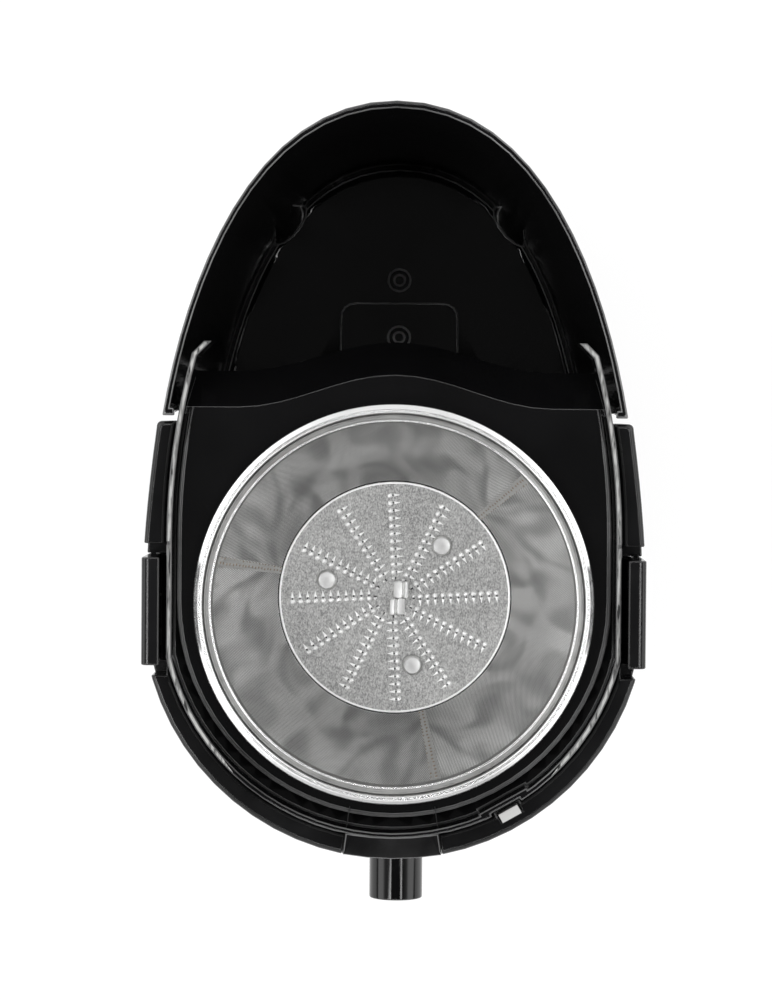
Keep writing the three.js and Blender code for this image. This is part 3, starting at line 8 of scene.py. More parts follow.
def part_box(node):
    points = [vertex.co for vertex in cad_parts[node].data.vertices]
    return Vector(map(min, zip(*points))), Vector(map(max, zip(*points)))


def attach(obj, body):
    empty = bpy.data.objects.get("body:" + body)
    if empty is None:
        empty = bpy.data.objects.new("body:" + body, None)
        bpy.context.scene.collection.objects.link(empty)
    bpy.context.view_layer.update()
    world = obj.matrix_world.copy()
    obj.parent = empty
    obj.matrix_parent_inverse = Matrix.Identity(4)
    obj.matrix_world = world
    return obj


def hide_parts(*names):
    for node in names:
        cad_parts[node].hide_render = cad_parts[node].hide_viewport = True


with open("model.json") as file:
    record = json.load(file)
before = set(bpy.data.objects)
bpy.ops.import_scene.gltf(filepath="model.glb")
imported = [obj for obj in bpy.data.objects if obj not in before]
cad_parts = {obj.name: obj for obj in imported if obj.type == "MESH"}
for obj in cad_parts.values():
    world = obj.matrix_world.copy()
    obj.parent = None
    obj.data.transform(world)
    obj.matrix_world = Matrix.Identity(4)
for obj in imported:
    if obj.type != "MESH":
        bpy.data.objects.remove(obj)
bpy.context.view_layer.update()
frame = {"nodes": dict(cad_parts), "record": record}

MM = 0.001
TURN = 2 * math.pi
NODES = frame["nodes"]


# ---------------------------------------------------------------- places taken from the frame

rim_low, rim_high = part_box("basket_rim")
disc_low, disc_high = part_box("grater_disc")
sieve_low, sieve_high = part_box("sieve_wall")
AXIS = Vector(((rim_low.x + rim_high.x) / 2, (rim_low.y + rim_high.y) / 2, 0))
RIM_TOP = rim_high.z / MM
RIM_RADIUS = (rim_high.x - rim_low.x) / 2 / MM
DISC_BOTTOM = disc_low.z / MM
DISC_TOP = DISC_BOTTOM + 1.2
DISC_RADIUS = (disc_high.x - disc_low.x) / 2 / MM
SIEVE_TOP_RADIUS = (sieve_high.x - sieve_low.x) / 2 / MM - 0.8
SIEVE_BOTTOM = sieve_low.z / MM
SIEVE_TOP = sieve_high.z / MM
SIEVE_BOTTOM_RADIUS = DISC_RADIUS + 0.3
ring_low, ring_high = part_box("lower_basket_ring")
LOWER_RING_INNER = SIEVE_BOTTOM_RADIUS
LOWER_RING_OUTER = (ring_high.x - ring_low.x) / 2 / MM
LOWER_RING_TOP = ring_high.z / MM
LOWER_RING_BOTTOM = ring_low.z / MM
bowl_low, bowl_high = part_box("juice_bowl")
BOWL_BOTTOM = bowl_low.z / MM
BAND_TOP = bowl_high.z / MM
BASE_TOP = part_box("base_housing")[1].z / MM
# The height of the pulp container's front wall, which its box doesn't give.
FRONT_WALL_TOP = 200


# ---------------------------------------------------------------- camera, light and floor

# How bright the sky is by the upward share of a direction, as a part of its brightest.
SKY_LEVELS = (
    (0.0, 0.05), (0.08, 0.12), (0.18, 1.0), (0.50, 1.0),
    (0.68, 0.18), (0.90, 0.012), (0.975, 0.012), (1.0, 0.09),
)
SKY_BRIGHTEST = 2.1
SKY_END_SHARE = 0.5


def look_from(place, target, lens, roll):
    """Aims the camera at a point, with the object's back towards the top of the picture."""
    camera = bpy.data.objects.new("camera", bpy.data.cameras.new("camera"))
    bpy.context.scene.collection.objects.link(camera)
    camera.data.lens = lens
    camera.data.sensor_width = 36
    camera.data.clip_start = 0.05
    camera.data.clip_end = 30
    back = (place - target).normalized()
    side = Matrix.Rotation(math.radians(roll), 3, back) @ Vector((0, 1, 0)).cross(back).normalized()
    up = back.cross(side)
    camera.matrix_world = Matrix((
        (side.x, up.x, back.x, place.x),
        (side.y, up.y, back.y, place.y),
        (side.z, up.z, back.z, place.z),
        (0, 0, 0, 1),
    ))
    bpy.context.scene.camera = camera


def softbox(name, place, target, width, height, power):
    """A rectangular studio lamp that faces a point and isn't seen itself."""
    lamp = bpy.data.objects.new(name, bpy.data.lights.new(name, "AREA"))
    bpy.context.scene.collection.objects.link(lamp)
    lamp.data.shape = "RECTANGLE"
    lamp.data.size = width
    lamp.data.size_y = height
    lamp.data.energy = power
    lamp.visible_camera = False
    lamp.location = place
    lamp.rotation_euler = (Vector(target) - Vector(place)).to_track_quat("-Z", "Y").to_euler()


def studio_sky():
    """Bright panels low on the left and right, dimmer to the front and back, nearly black overhead."""
    world = bpy.data.worlds.new("studio")
    bpy.context.scene.world = world
    world.use_nodes = True
    nodes = world.node_tree.nodes
    links = world.node_tree.links

    def number(operation, first, second):
        node = nodes.new("ShaderNodeMath")
        node.operation = operation
        for value, socket in zip((first, second), node.inputs):
            if isinstance(value, (int, float)):
                socket.default_value = value
            else:
                links.new(value, socket)
        return node.outputs[0]

    direction = nodes.new("ShaderNodeTexCoord")
    parts = nodes.new("ShaderNodeSeparateXYZ")
    links.new(direction.outputs["Generated"], parts.inputs[0])
    belt = nodes.new("ShaderNodeValToRGB")
    belt.color_ramp.interpolation = "EASE"
    stops = belt.color_ramp.elements
    stops[0].position = 0.0
    stops[0].color = (*[SKY_LEVELS[0][1]] * 3, 1)
    stops[1].position = 1.0
    stops[1].color = (*[SKY_LEVELS[-1][1]] * 3, 1)
    for position, strength in SKY_LEVELS[1:-1]:
        stop = stops.new(position)
        stop.color = (*[strength] * 3, 1)
    links.new(parts.outputs["Z"], belt.inputs["Fac"])
    sideways = nodes.new("ShaderNodeMapRange")
    sideways.interpolation_type = "SMOOTHSTEP"
    sideways.inputs["From Min"].default_value = 0.3
    sideways.inputs["From Max"].default_value = 0.8
    sideways.inputs["To Min"].default_value = SKY_END_SHARE
    sideways.inputs["To Max"].default_value = 1.0
    links.new(number("ABSOLUTE", parts.outputs["X"], 0), sideways.inputs["Value"])
    panels = number("MULTIPLY", belt.outputs["Color"], SKY_BRIGHTEST)
    mirrored = number("MULTIPLY", panels, sideways.outputs[0])
    ray = nodes.new("ShaderNodeLightPath")
    diffuse = nodes.new("ShaderNodeMix")
    diffuse.inputs["B"].default_value = 0.55
    links.new(ray.outputs["Is Diffuse Ray"], diffuse.inputs["Factor"])
    links.new(mirrored, diffuse.inputs["A"])
    seen = nodes.new("ShaderNodeMix")
    seen.inputs["B"].default_value = 1.0
    links.new(ray.outputs["Is Camera Ray"], seen.inputs["Factor"])
    links.new(diffuse.outputs["Result"], seen.inputs["A"])
    background = nodes["Background"]
    links.new(seen.outputs["Result"], background.inputs["Strength"])
    background.inputs["Color"].default_value = (1, 1, 1, 1)


def studio_floor():
    """A pale floor that looks white from afar and keeps the object's soft shadow."""
    bm = bmesh.new()
    bmesh.ops.create_grid(bm, x_segments=1, y_segments=1, size=6)
    mesh = bpy.data.meshes.new("floor")
    bm.to_mesh(mesh)
    bm.free()
    floor = bpy.data.objects.new("floor", mesh)
    bpy.context.scene.collection.objects.link(floor)
    material = bpy.data.materials.new("floor")
    material.use_nodes = True
    nodes = material.node_tree.nodes
    links = material.node_tree.links
    nodes.clear()
    ray = nodes.new("ShaderNodeLightPath")
    seen = nodes.new("ShaderNodeMath")
    seen.operation = "MAXIMUM"
    seen_through = nodes.new("ShaderNodeMath")
    seen_through.operation = "MAXIMUM"
    plain = nodes.new("ShaderNodeBsdfDiffuse")
    plain.inputs["Color"].default_value = (0.72, 0.72, 0.72, 1)
    shadowed = nodes.new("ShaderNodeBsdfDiffuse")
    shadowed.inputs["Color"].default_value = (0.22, 0.22, 0.22, 1)
    glow = nodes.new("ShaderNodeEmission")
    glow.inputs["Strength"].default_value = 0.84
    white = nodes.new("ShaderNodeAddShader")
    mixed = nodes.new("ShaderNodeMixShader")
    output = nodes.new("ShaderNodeOutputMaterial")
    links.new(ray.outputs["Is Camera Ray"], seen.inputs[0])
    links.new(ray.outputs["Is Glossy Ray"], seen.inputs[1])
    links.new(seen.outputs[0], seen_through.inputs[0])
    links.new(ray.outputs["Is Transmission Ray"], seen_through.inputs[1])
    links.new(shadowed.outputs[0], white.inputs[0])
    links.new(glow.outputs[0], white.inputs[1])
    links.new(seen_through.outputs[0], mixed.inputs[0])
    links.new(plain.outputs[0], mixed.inputs[1])
    links.new(white.outputs[0], mixed.inputs[2])
    links.new(mixed.outputs[0], output.inputs["Surface"])
    mesh.materials.append(material)


look_from(Vector((0.009, 0.04028, 1.430)), Vector((-0.003, 0.00458, 0.230)), 113.7, 0.42)
studio_sky()
studio_floor()
MIDDLE = (0, 0, 0.2)
softbox("left_strip", (-0.70, 0.02, 1.75), MIDDLE, 1.2, 0.14, 5)
softbox("right_strip", (0.70, 0.02, 1.75), MIDDLE, 1.2, 0.14, 5)
softbox("back_strip", (0.0, 0.80, 1.75), MIDDLE, 0.8, 0.10, 3)
softbox("front_strip", (0.0, -0.80, 1.75), MIDDLE, 0.8, 0.10, 3)
softbox("key_box", (-0.9, -0.7, 1.7), MIDDLE, 0.5, 0.5, 4)
bpy.context.scene.view_settings.view_transform = "Standard"


# ---------------------------------------------------------------- finishes

class Finish:
    """A material being put together: one shader and the pattern nodes that feed it."""

    def __init__(self, name, color, roughness, metallic=0.0):
        self.material = bpy.data.materials.new(name)
        self.material.use_nodes = True
        self.tree = self.material.node_tree
        self.shader = self.tree.nodes["Principled BSDF"]
        self.shader.inputs["Base Color"].default_value = (*color, 1)
        self.shader.inputs["Roughness"].default_value = roughness
        self.shader.inputs["Metallic"].default_value = metallic
        self.material.diffuse_color = (*color, 1)
        self.place = self.add("ShaderNodeTexCoord")

    def add(self, kind, **settings):
        node = self.tree.nodes.new(kind)
        for key, value in settings.items():
            setattr(node, key, value)
        return node

    def join(self, source, target):
        self.tree.links.new(source, target)

    def on(self, stretch=(1, 1, 1), coordinate="Object", turn=(0, 0, 0)):
        """The surface's own coordinates, stretched or turned."""
        mapping = self.add("ShaderNodeMapping")
        mapping.inputs["Rotation"].default_value = turn
        mapping.inputs["Scale"].default_value = stretch
        self.join(self.place.outputs[coordinate], mapping.inputs["Vector"])
        return mapping.outputs[0]

    def noise(self, scale, detail=3.0, where=None, swirl=0.0):
        node = self.add("ShaderNodeTexNoise")
        node.inputs["Distortion"].default_value = swirl
        node.inputs["Scale"].default_value = scale
        node.inputs["Detail"].default_value = detail
        self.join(where or self.place.outputs["Object"], node.inputs["Vector"])
        return node.outputs["Fac"]

    def spread(self, value, low, high, from_low=0.0, from_high=1.0, smooth=False):
        node = self.add("ShaderNodeMapRange")
        node.interpolation_type = "SMOOTHSTEP" if smooth else "LINEAR"
        node.inputs["From Min"].default_value = from_low
        node.inputs["From Max"].default_value = from_high
        node.inputs["To Min"].default_value = low
        node.inputs["To Max"].default_value = high
        self.join(value, node.inputs["Value"])
        return node.outputs[0]

    def sum(self, operation, first, second):
        node = self.add("ShaderNodeMath", operation=operation)
        for value, socket in zip((first, second), node.inputs):
            if isinstance(value, (int, float)):
                socket.default_value = value
            else:
                self.join(value, socket)
        return node.outputs[0]

    def tint(self, value, first, second):
        """Two colours mixed by a pattern, on the shader's base colour."""
        node = self.add("ShaderNodeMix", data_type="RGBA")
        self.join(value, node.inputs[0])
        node.inputs[6].default_value = (*first, 1)
        node.inputs[7].default_value = (*second, 1)
        self.join(node.outputs[2], self.shader.inputs["Base Color"])
        return node.outputs[2]

    def set(self, socket, value):
        if isinstance(value, (int, float)):
            self.shader.inputs[socket].default_value = value
        else:
            self.join(value, self.shader.inputs[socket])

    def relief(self, height, depth, edge=0.0):
        """Bumps of a real depth, on corners rounded to a radius in metres."""
        bump = self.add("ShaderNodeBump")
        bump.inputs["Distance"].default_value = depth
        bump.inputs["Strength"].default_value = 1.0
        self.join(height, bump.inputs["Height"])
        if edge:
            rounding = self.add("ShaderNodeBevel", samples=6)
            rounding.inputs["Radius"].default_value = edge
            self.join(rounding.outputs[0], bump.inputs["Normal"])
        self.join(bump.outputs[0], self.shader.inputs["Normal"])


def moulded_plastic(name, dark, light, smooth, rough, grain=900.0, depth=0.00002, edge=0.0005):
    """Injection-moulded plastic: a faint cloudiness, fine grain, and roughness that varies with handling."""
    finish = Finish(name, dark, (smooth + rough) / 2)
    clouds = finish.noise(14.0, 4.0)
    finish.tint(finish.spread(clouds, 0, 1, 0.35, 0.65), dark, light)
    wear = finish.noise(60.0, 5.0)
    finish.set("Roughness", finish.spread(wear, smooth, rough, 0.3, 0.7))
    finish.set("Specular IOR Level", 0.5)
    finish.relief(finish.noise(grain, 2.0), depth, edge)
    return finish.material


def brushed_steel(name, dark, light, smooth, rough, stretch, grain, depth, edge=0.0):
    """Steel with fine lines one way and a slight unevenness in its polish."""
    finish = Finish(name, dark, (smooth + rough) / 2, 1.0)
    lines = finish.noise(grain, 3.0, finish.on(stretch))
    clouds = finish.noise(35.0, 4.0)
    finish.tint(finish.sum("MULTIPLY", clouds, finish.spread(lines, 0.6, 1.4)), dark, light)
    finish.set("Roughness", finish.spread(lines, smooth, rough, 0.3, 0.7))
    finish.relief(lines, depth, edge)
    return finish.material


def grained_steel():
    """The cutting disc's sheet: a dense bright and dark grain, a little longer one way."""
    finish = Finish("grained_steel", (0.4, 0.4, 0.4), 0.45, 1.0)
    grain = finish.noise(2100.0, 2.0, finish.on((1, 0.6, 1)))
    clouds = finish.noise(35.0, 4.0)
    grain_share = finish.spread(grain, 0, 0.8, 0.3, 0.7)
    cloud_share = finish.spread(clouds, 0, 0.2, 0.3, 0.7)
    shade = finish.sum("ADD", grain_share, cloud_share)
    finish.tint(shade, (0.22, 0.22, 0.22), (0.68, 0.68, 0.67))
    finish.set("Roughness", finish.spread(grain, 0.38, 0.5, 0.3, 0.7))
    finish.relief(grain, 0.000014)
    return finish.material


def band_top_sheen():
    """The top of the bowl's raised band, painted pale and streaky along its length: a painted reflection."""
    finish = Finish("band_top_sheen", (0.2, 0.2, 0.2), 0.35)
    streaks = finish.noise(700.0, 4.0, finish.on((1, 0.14, 1)))
    patches = finish.noise(70.0, 3.0)
    streak_share = finish.spread(streaks, 0, 1.6, 0.36, 0.64)
    patch_share = finish.spread(patches, 0.5, 1.2, 0.3, 0.7)
    shade = finish.sum("MULTIPLY", streak_share, patch_share)
    finish.tint(shade, (0.03, 0.03, 0.03), (0.42, 0.42, 0.41))
    finish.set("Roughness", finish.spread(streaks, 0.22, 0.45, 0.3, 0.7))
    finish.relief(streaks, 0.00002)
    return finish.material


def perforated_steel():
    """Sheet with rows of tiny round holes, laid out on the sheet before it is rolled into a cone."""
    finish = Finish("perforated_steel", (0.42, 0.42, 0.42), 0.42, 1.0)
    where = finish.on((1, 1, 1), "UV", turn=(0, 0, math.radians(45)))
    cells = finish.add("ShaderNodeTexVoronoi", voronoi_dimensions="2D")
    cells.inputs["Scale"].default_value = 1.55
    cells.inputs["Randomness"].default_value = 0.0
    finish.join(where, cells.inputs["Vector"])
    away = cells.outputs["Distance"]
    web = finish.spread(away, 0, 1, 0.26, 0.36, smooth=True)
    clouds = finish.noise(28.0, 4.0)
    steel = finish.add("ShaderNodeMix", data_type="RGBA")
    steel.inputs[6].default_value = (0.13, 0.13, 0.128, 1)
    steel.inputs[7].default_value = (0.86, 0.86, 0.85, 1)
    # Long swirls of paler and darker steel, times the random cloudiness: a painted reflection of the wavy
    # sheen on the sheet.
    sheen_way = finish.on((0.06, 0.03, 1), "UV", turn=(0, 0, math.radians(30)))
    sheen_swirls = finish.noise(1.0, 1.0, sheen_way, swirl=0.9)
    cloud_share = finish.spread(clouds, 0.7, 1.1, 0.3, 0.7)
    sheen_share = finish.spread(sheen_swirls, 0.42, 1.0, 0.3, 0.66, smooth=True)
    polish = finish.sum("MULTIPLY", cloud_share, sheen_share)
    finish.join(polish, steel.inputs[0])
    # The holes are painted near-black and not metallic: painted shade where one looks through the sheet.
    shade_in_holes = finish.add("ShaderNodeMix", data_type="RGBA")
    shade_in_holes.inputs[6].default_value = (0.012, 0.012, 0.012, 1)
    finish.join(web, shade_in_holes.inputs[0])
    finish.join(steel.outputs[2], shade_in_holes.inputs[7])
    finish.join(shade_in_holes.outputs[2], finish.shader.inputs["Base Color"])
    finish.set("Metallic", web)
    finish.set("Roughness", finish.spread(clouds, 0.34, 0.5, 0.3, 0.7))
    finish.relief(finish.spread(away, 0, 1, 0.2, 0.45), 0.00006)
    return finish.material


def welded_steel():
    """The smooth lap of a seam with its row of brown spot welds along the middle."""
    finish = Finish("welded_steel", (0.6, 0.6, 0.59), 0.35, 1.0)
    spots = finish.add("ShaderNodeTexVoronoi", voronoi_dimensions="2D")
    spots.inputs["Scale"].default_value = 0.5
    spots.inputs["Randomness"].default_value = 0.25
    finish.join(finish.on((1, 1, 1), "UV"), spots.inputs["Vector"])
    weld = finish.spread(spots.outputs["Distance"], 1, 0, 0.12, 0.34, smooth=True)
    finish.tint(weld, (0.60, 0.60, 0.59), (0.40, 0.33, 0.26))
    finish.set("Roughness", finish.spread(weld, 0.3, 0.55))
    finish.relief(weld, 0.0001)
    return finish.material


def rubber_finish(name, dark, light):
    finish = Finish(name, dark, 0.8)
    finish.tint(finish.spread(finish.noise(50.0, 4.0), 0, 1, 0.35, 0.65), dark, light)
    finish.set("Roughness", finish.spread(finish.noise(300.0), 0.7, 0.92))
    finish.relief(finish.noise(1500.0, 2.0), 0.00003, 0.0003)
    return finish.material


def grey(level):
    return level, level, level


EVEN = (1, 1, 1)
SOFT_GRAIN = {"grain": 500.0, "depth": 0.000003}
FINE_GRAIN = {"grain": 900.0, "depth": 0.000006}
BLACK_SATIN = moulded_plastic(
    "black_satin", (0.003, 0.003, 0.0032), (0.005, 0.005, 0.0055), 0.14, 0.22, **FINE_GRAIN, edge=0.0007)
BLACK_GLOSS = moulded_plastic(
    "black_gloss", (0.002, 0.002, 0.0022), (0.004, 0.004, 0.0043), 0.08, 0.15, **SOFT_GRAIN, edge=0.0006)
# These three finishes colour the rounded corners of the black mouldings paler grey: painted highlights along
# the edges.
PAINTED_BRIGHT_HIGHLIGHT = moulded_plastic("painted_bright_highlight", grey(0.05), grey(0.26), 0.12, 0.3, **SOFT_GRAIN)
PAINTED_MID_HIGHLIGHT = moulded_plastic("painted_mid_highlight", grey(0.03), grey(0.14), 0.12, 0.3, **SOFT_GRAIN)
PAINTED_FAINT_HIGHLIGHT = moulded_plastic("painted_faint_highlight", grey(0.004), grey(0.03), 0.14, 0.3, **SOFT_GRAIN)
GREY_PLASTIC = moulded_plastic("grey_plastic", (0.50, 0.50, 0.49), (0.58, 0.58, 0.57), 0.35, 0.5)
POLISHED_STEEL = brushed_steel("polished_steel", grey(0.70), grey(0.92), 0.18, 0.28, EVEN, 300, 0.000001)
# A much darker steel for the rim's groove and sloping band: painted shade.
SHADED_BAND_STEEL = brushed_steel("shaded_band_steel", grey(0.14), (0.44, 0.44, 0.43), 0.34, 0.5, EVEN, 300, 0.000004)
# A much paler steel than the disc's own sheet, for its teeth, centre tabs and rolled edge: a painted
# highlight.
PALE_HIGHLIGHT_STEEL = brushed_steel("pale_highlight_steel", grey(0.85), (0.98, 0.98, 0.97), 0.4, 0.52, EVEN, 700, 0.000004)
RIVET_STEEL = brushed_steel("rivet_steel", grey(0.50), (0.80, 0.80, 0.79), 0.4, 0.5, EVEN, 700, 0.000004)
DISC_STEEL = grained_steel()
PLAIN_STEEL = brushed_steel(
    "plain_steel", grey(0.42), grey(0.62), 0.25, 0.4, EVEN, 400, 0.00001, edge=0.0002)
PERFORATED_STEEL = perforated_steel()
BAND_TOP_SHEEN = band_top_sheen()
WELDED_STEEL = welded_steel()
LAMINATED_STEEL = brushed_steel(
    "laminated_steel", (0.16, 0.165, 0.17), (0.30, 0.30, 0.31), 0.4, 0.6, (1, 1, 60), 60, 0.0001)
COPPER = brushed_steel("copper", (0.48, 0.20, 0.09), (0.72, 0.34, 0.17), 0.3, 0.45, (1, 1, 40), 40, 0.0001)
CAST_ALLOY = brushed_steel(
    "cast_alloy", (0.32, 0.33, 0.34), (0.46, 0.47, 0.48), 0.5, 0.65, EVEN, 700, 0.00005, edge=0.0004)
RUBBER = rubber_finish("rubber", grey(0.012), grey(0.02))
CARBON = rubber_finish("carbon", (0.02, 0.02, 0.021), (0.035, 0.035, 0.036))


# ---------------------------------------------------------------- making pieces

def piece(name, bm, finish, body, smooth=35.0, stands_for=()):
    """Makes a finished bmesh into an object that rides on a body of the frame."""
    mesh = bpy.data.meshes.new(name)
    bm.to_mesh(mesh)
    bm.free()
    mesh.materials.append(finish)
    mesh.shade_smooth()
    mesh.set_sharp_from_angle(angle=math.radians(smooth))
    made = bpy.data.objects.new(name, mesh)
    bpy.context.scene.collection.objects.link(made)
    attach(made, body)
    if stands_for:
        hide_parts(*stands_for)
    return made


def refinish(made, finish, chosen):
    """Gives some of a piece's faces a finish of their own."""
    made.data.materials.append(finish)
    for face in made.data.polygons:
        if chosen(face.center / MM):
            face.material_index = len(made.data.materials) - 1


def from_axis(place):
    """How far a place, in millimetres, is from the motor axis."""
    return math.hypot(place.x - AXIS.x / MM, place.y - AXIS.y / MM)


def turned(profile, steps=144, closed=True):
    """A profile of (radius, height) points in millimetres, turned about the motor axis."""
    bm = bmesh.new()
    points = [bm.verts.new((radius * MM, 0, height * MM)) for radius, height in profile]
    following = points[1:] + points[:1] if closed else points[1:]
    edges = [bm.edges.new(pair) for pair in zip(points, following)]
    bmesh.ops.spin(bm, geom=points + edges, axis=(0, 0, 1), angle=TURN, steps=steps, use_merge=True)
    bmesh.ops.remove_doubles(bm, verts=bm.verts, dist=1e-7)
    bmesh.ops.dissolve_degenerate(bm, edges=bm.edges, dist=1e-7)
    bmesh.ops.recalc_face_normals(bm, faces=bm.faces)
    bmesh.ops.translate(bm, verts=bm.verts, vec=AXIS)
    return bm


# The share of the corner radius that is left where corners are too crowded for all of it.
SPARED_ROUNDING = 0.12


def welded_copy(node, spared, levelled):
    """A frame node's shape, merged and cleaned, with its sharp edges marked for rounding.

    Places that levelled picks, which are slivers above a wall, come down to FRONT_WALL_TOP.
    """
    bm = bmesh.new()
    bm.from_mesh(NODES[node].data)
    bmesh.ops.remove_doubles(bm, verts=bm.verts, dist=2e-5)
    for vert in bm.verts:
        if levelled(vert.co / MM):
            vert.co.z = FRONT_WALL_TOP * MM
    bmesh.ops.remove_doubles(bm, verts=bm.verts, dist=2e-5)
    bmesh.ops.dissolve_limit(bm, angle_limit=math.radians(0.4), verts=bm.verts, edges=bm.edges)
    bmesh.ops.dissolve_degenerate(bm, edges=bm.edges, dist=4e-5)
    bmesh.ops.delete(bm, geom=[edge for edge in bm.edges if edge.is_wire], context="EDGES")
    bmesh.ops.triangulate(bm, faces=[face for face in bm.faces if len(face.verts) > 4])
    rounded = bm.edges.layers.float.new("bevel_weight_edge")
    for edge in bm.edges:
        middle = (edge.verts[0].co + edge.verts[1].co) / 2 / MM
        if edge.is_manifold and edge.calc_face_angle() > math.radians(30):
            edge[rounded] = SPARED_ROUNDING if spared(middle) else 1
    return bm


def nowhere(place):
    """Picks no place, for a piece that needs no special care."""
    return False


def dressed(node, name, finish, highlight_finish, body, spared=nowhere, levelled=nowhere):
    """A piece in a frame node's shape, which it stands for, with its corners rounded off and given a paler
    finish, a painted highlight along its edges.
    """
    made = piece(name, welded_copy(node, spared, levelled), finish, body, 28, stands_for=(node,))
    corners = made.modifiers.new("corner_radius", "BEVEL")
    corners.width = 0.0005
    corners.segments = 2
    corners.limit_method = "WEIGHT"
    corners.miter_outer = "MITER_SHARP"
    corners.use_clamp_overlap = False
    corners.loop_slide = False
    # The rounded corners take the paler edge finish, which is a painted highlight.
    made.data.materials.append(highlight_finish)
    corners.material = 1
    weighted = made.modifiers.new("flat_faces", "WEIGHTED_NORMAL")
    weighted.keep_sharp = True
    weighted.weight = 60
    return made


def copies_round(bm, geometry, count):
    """Repeats a small shape round the origin."""
    for step in range(1, count):
        turn = Matrix.Rotation(TURN * step / count, 3, "Z")
        made = bmesh.ops.duplicate(bm, geom=geometry)["geom"]
        points = [part for part in made if isinstance(part, bmesh.types.BMVert)]
        bmesh.ops.rotate(bm, verts=points, matrix=turn)


# ---------------------------------------------------------------- filter basket

def rolled_rim():
    """The basket's bright rolled ring with its groove and the sloping band down to the sieve."""
    top = RIM_TOP
    outer = RIM_RADIUS
    profile = [
        (69.3, top - 7.3), (outer - 0.5, top - 7.3), (outer, top - 6.8), (outer, top - 1.62),
        (outer - 0.06, top - 1.42), (outer - 0.22, top - 1.26), (outer - 0.6, top - 1.03),
        (outer - 1.2, top - 0.62), (outer - 1.75, top - 0.22), (outer - 2.05, top - 0.05),
        (outer - 2.25, top), (outer - 2.4, top - 0.05), (outer - 2.5, top - 0.14),
        (outer - 2.62, top - 0.08), (outer - 2.8, top - 0.14), (outer - 3.2, top - 0.42),
        (outer - 3.42, top - 0.7), (outer - 3.55, top - 1.5), (outer - 3.8, top - 2.1),
        (outer - 4.1, top - 1.75), (outer - 4.3, top - 1.62), (outer - 5.2, top - 1.86),
        (outer - 5.95, top - 2.1), (outer - 6.15, top - 2.35), (outer - 6.3, top - 2.3),
        (outer - 6.6, top - 2.46), (outer - 6.85, top - 2.9), (outer - 6.98, top - 3.7),
        (69.3, top - 5.4),
    ]
    return turned(profile, 192)


rim = piece("rolled_rim", rolled_rim(), POLISHED_STEEL, "basket", 50, ("basket_rim",))
# The groove and the sloping band get a far darker steel than the rest of the ring: painted shade.
refinish(rim, SHADED_BAND_STEEL, lambda place: RIM_RADIUS - 5.95 < from_axis(place) < RIM_RADIUS - 3.5)
refinish(rim, SHADED_BAND_STEEL, lambda place: from_axis(place) < RIM_RADIUS - 6.6)

SEAM_ANGLES = (44.0, 167.0, 284.0)
SHEET_MIDDLES = (105.5, 225.5, 344.0)
LAP_HALF_WIDTH = 1.7
LAP_MIDDLE_RADIUS = 58
LAP_LIFT = 0.22
LAP_PER_DEGREE = 1.02


def sheet_layout(bm):
    """Gives the cone its place on the flat sheet, in millimetres, with three sheets meeting at the seams."""
    layer = bm.loops.layers.uv.new("sheet")
    rise = SIEVE_TOP - SIEVE_BOTTOM
    spread = SIEVE_TOP_RADIUS - SIEVE_BOTTOM_RADIUS
    narrowing = spread / math.hypot(rise, spread)
    for face in bm.faces:
        middle = face.calc_center_median() - AXIS
        angle = math.degrees(math.atan2(middle.y, middle.x))
        sheet = min(range(3), key=lambda i: abs((angle - SHEET_MIDDLES[i] + 180) % 360 - 180))
        for loop in face.loops:
            place = loop.vert.co - AXIS
            around = math.degrees(math.atan2(place.y, place.x)) - SHEET_MIDDLES[sheet]
            around = math.radians((around + 180) % 360 - 180)
            reach = math.hypot(place.x, place.y) / MM / narrowing
            loop[layer].uv = (reach * math.sin(around * narrowing), reach * math.cos(around * narrowing))


def sieve_cone():
    """The basket's cone of perforated sheet."""
    bm = turned([
        (SIEVE_BOTTOM_RADIUS, SIEVE_BOTTOM), (SIEVE_BOTTOM_RADIUS + 0.5, SIEVE_BOTTOM),
        (SIEVE_TOP_RADIUS + 0.5, SIEVE_TOP), (SIEVE_TOP_RADIUS, SIEVE_TOP),
    ], 144)
    long_edges = [edge for edge in bm.edges if abs(edge.verts[0].co.z - edge.verts[1].co.z) > 0.02]
    bmesh.ops.subdivide_edges(bm, edges=long_edges, cuts=7, use_grid_fill=True)
    sheet_layout(bm)
    return bm


piece("perforated_cone", sieve_cone(), PERFORATED_STEEL, "basket", 40, ("sieve_wall",))


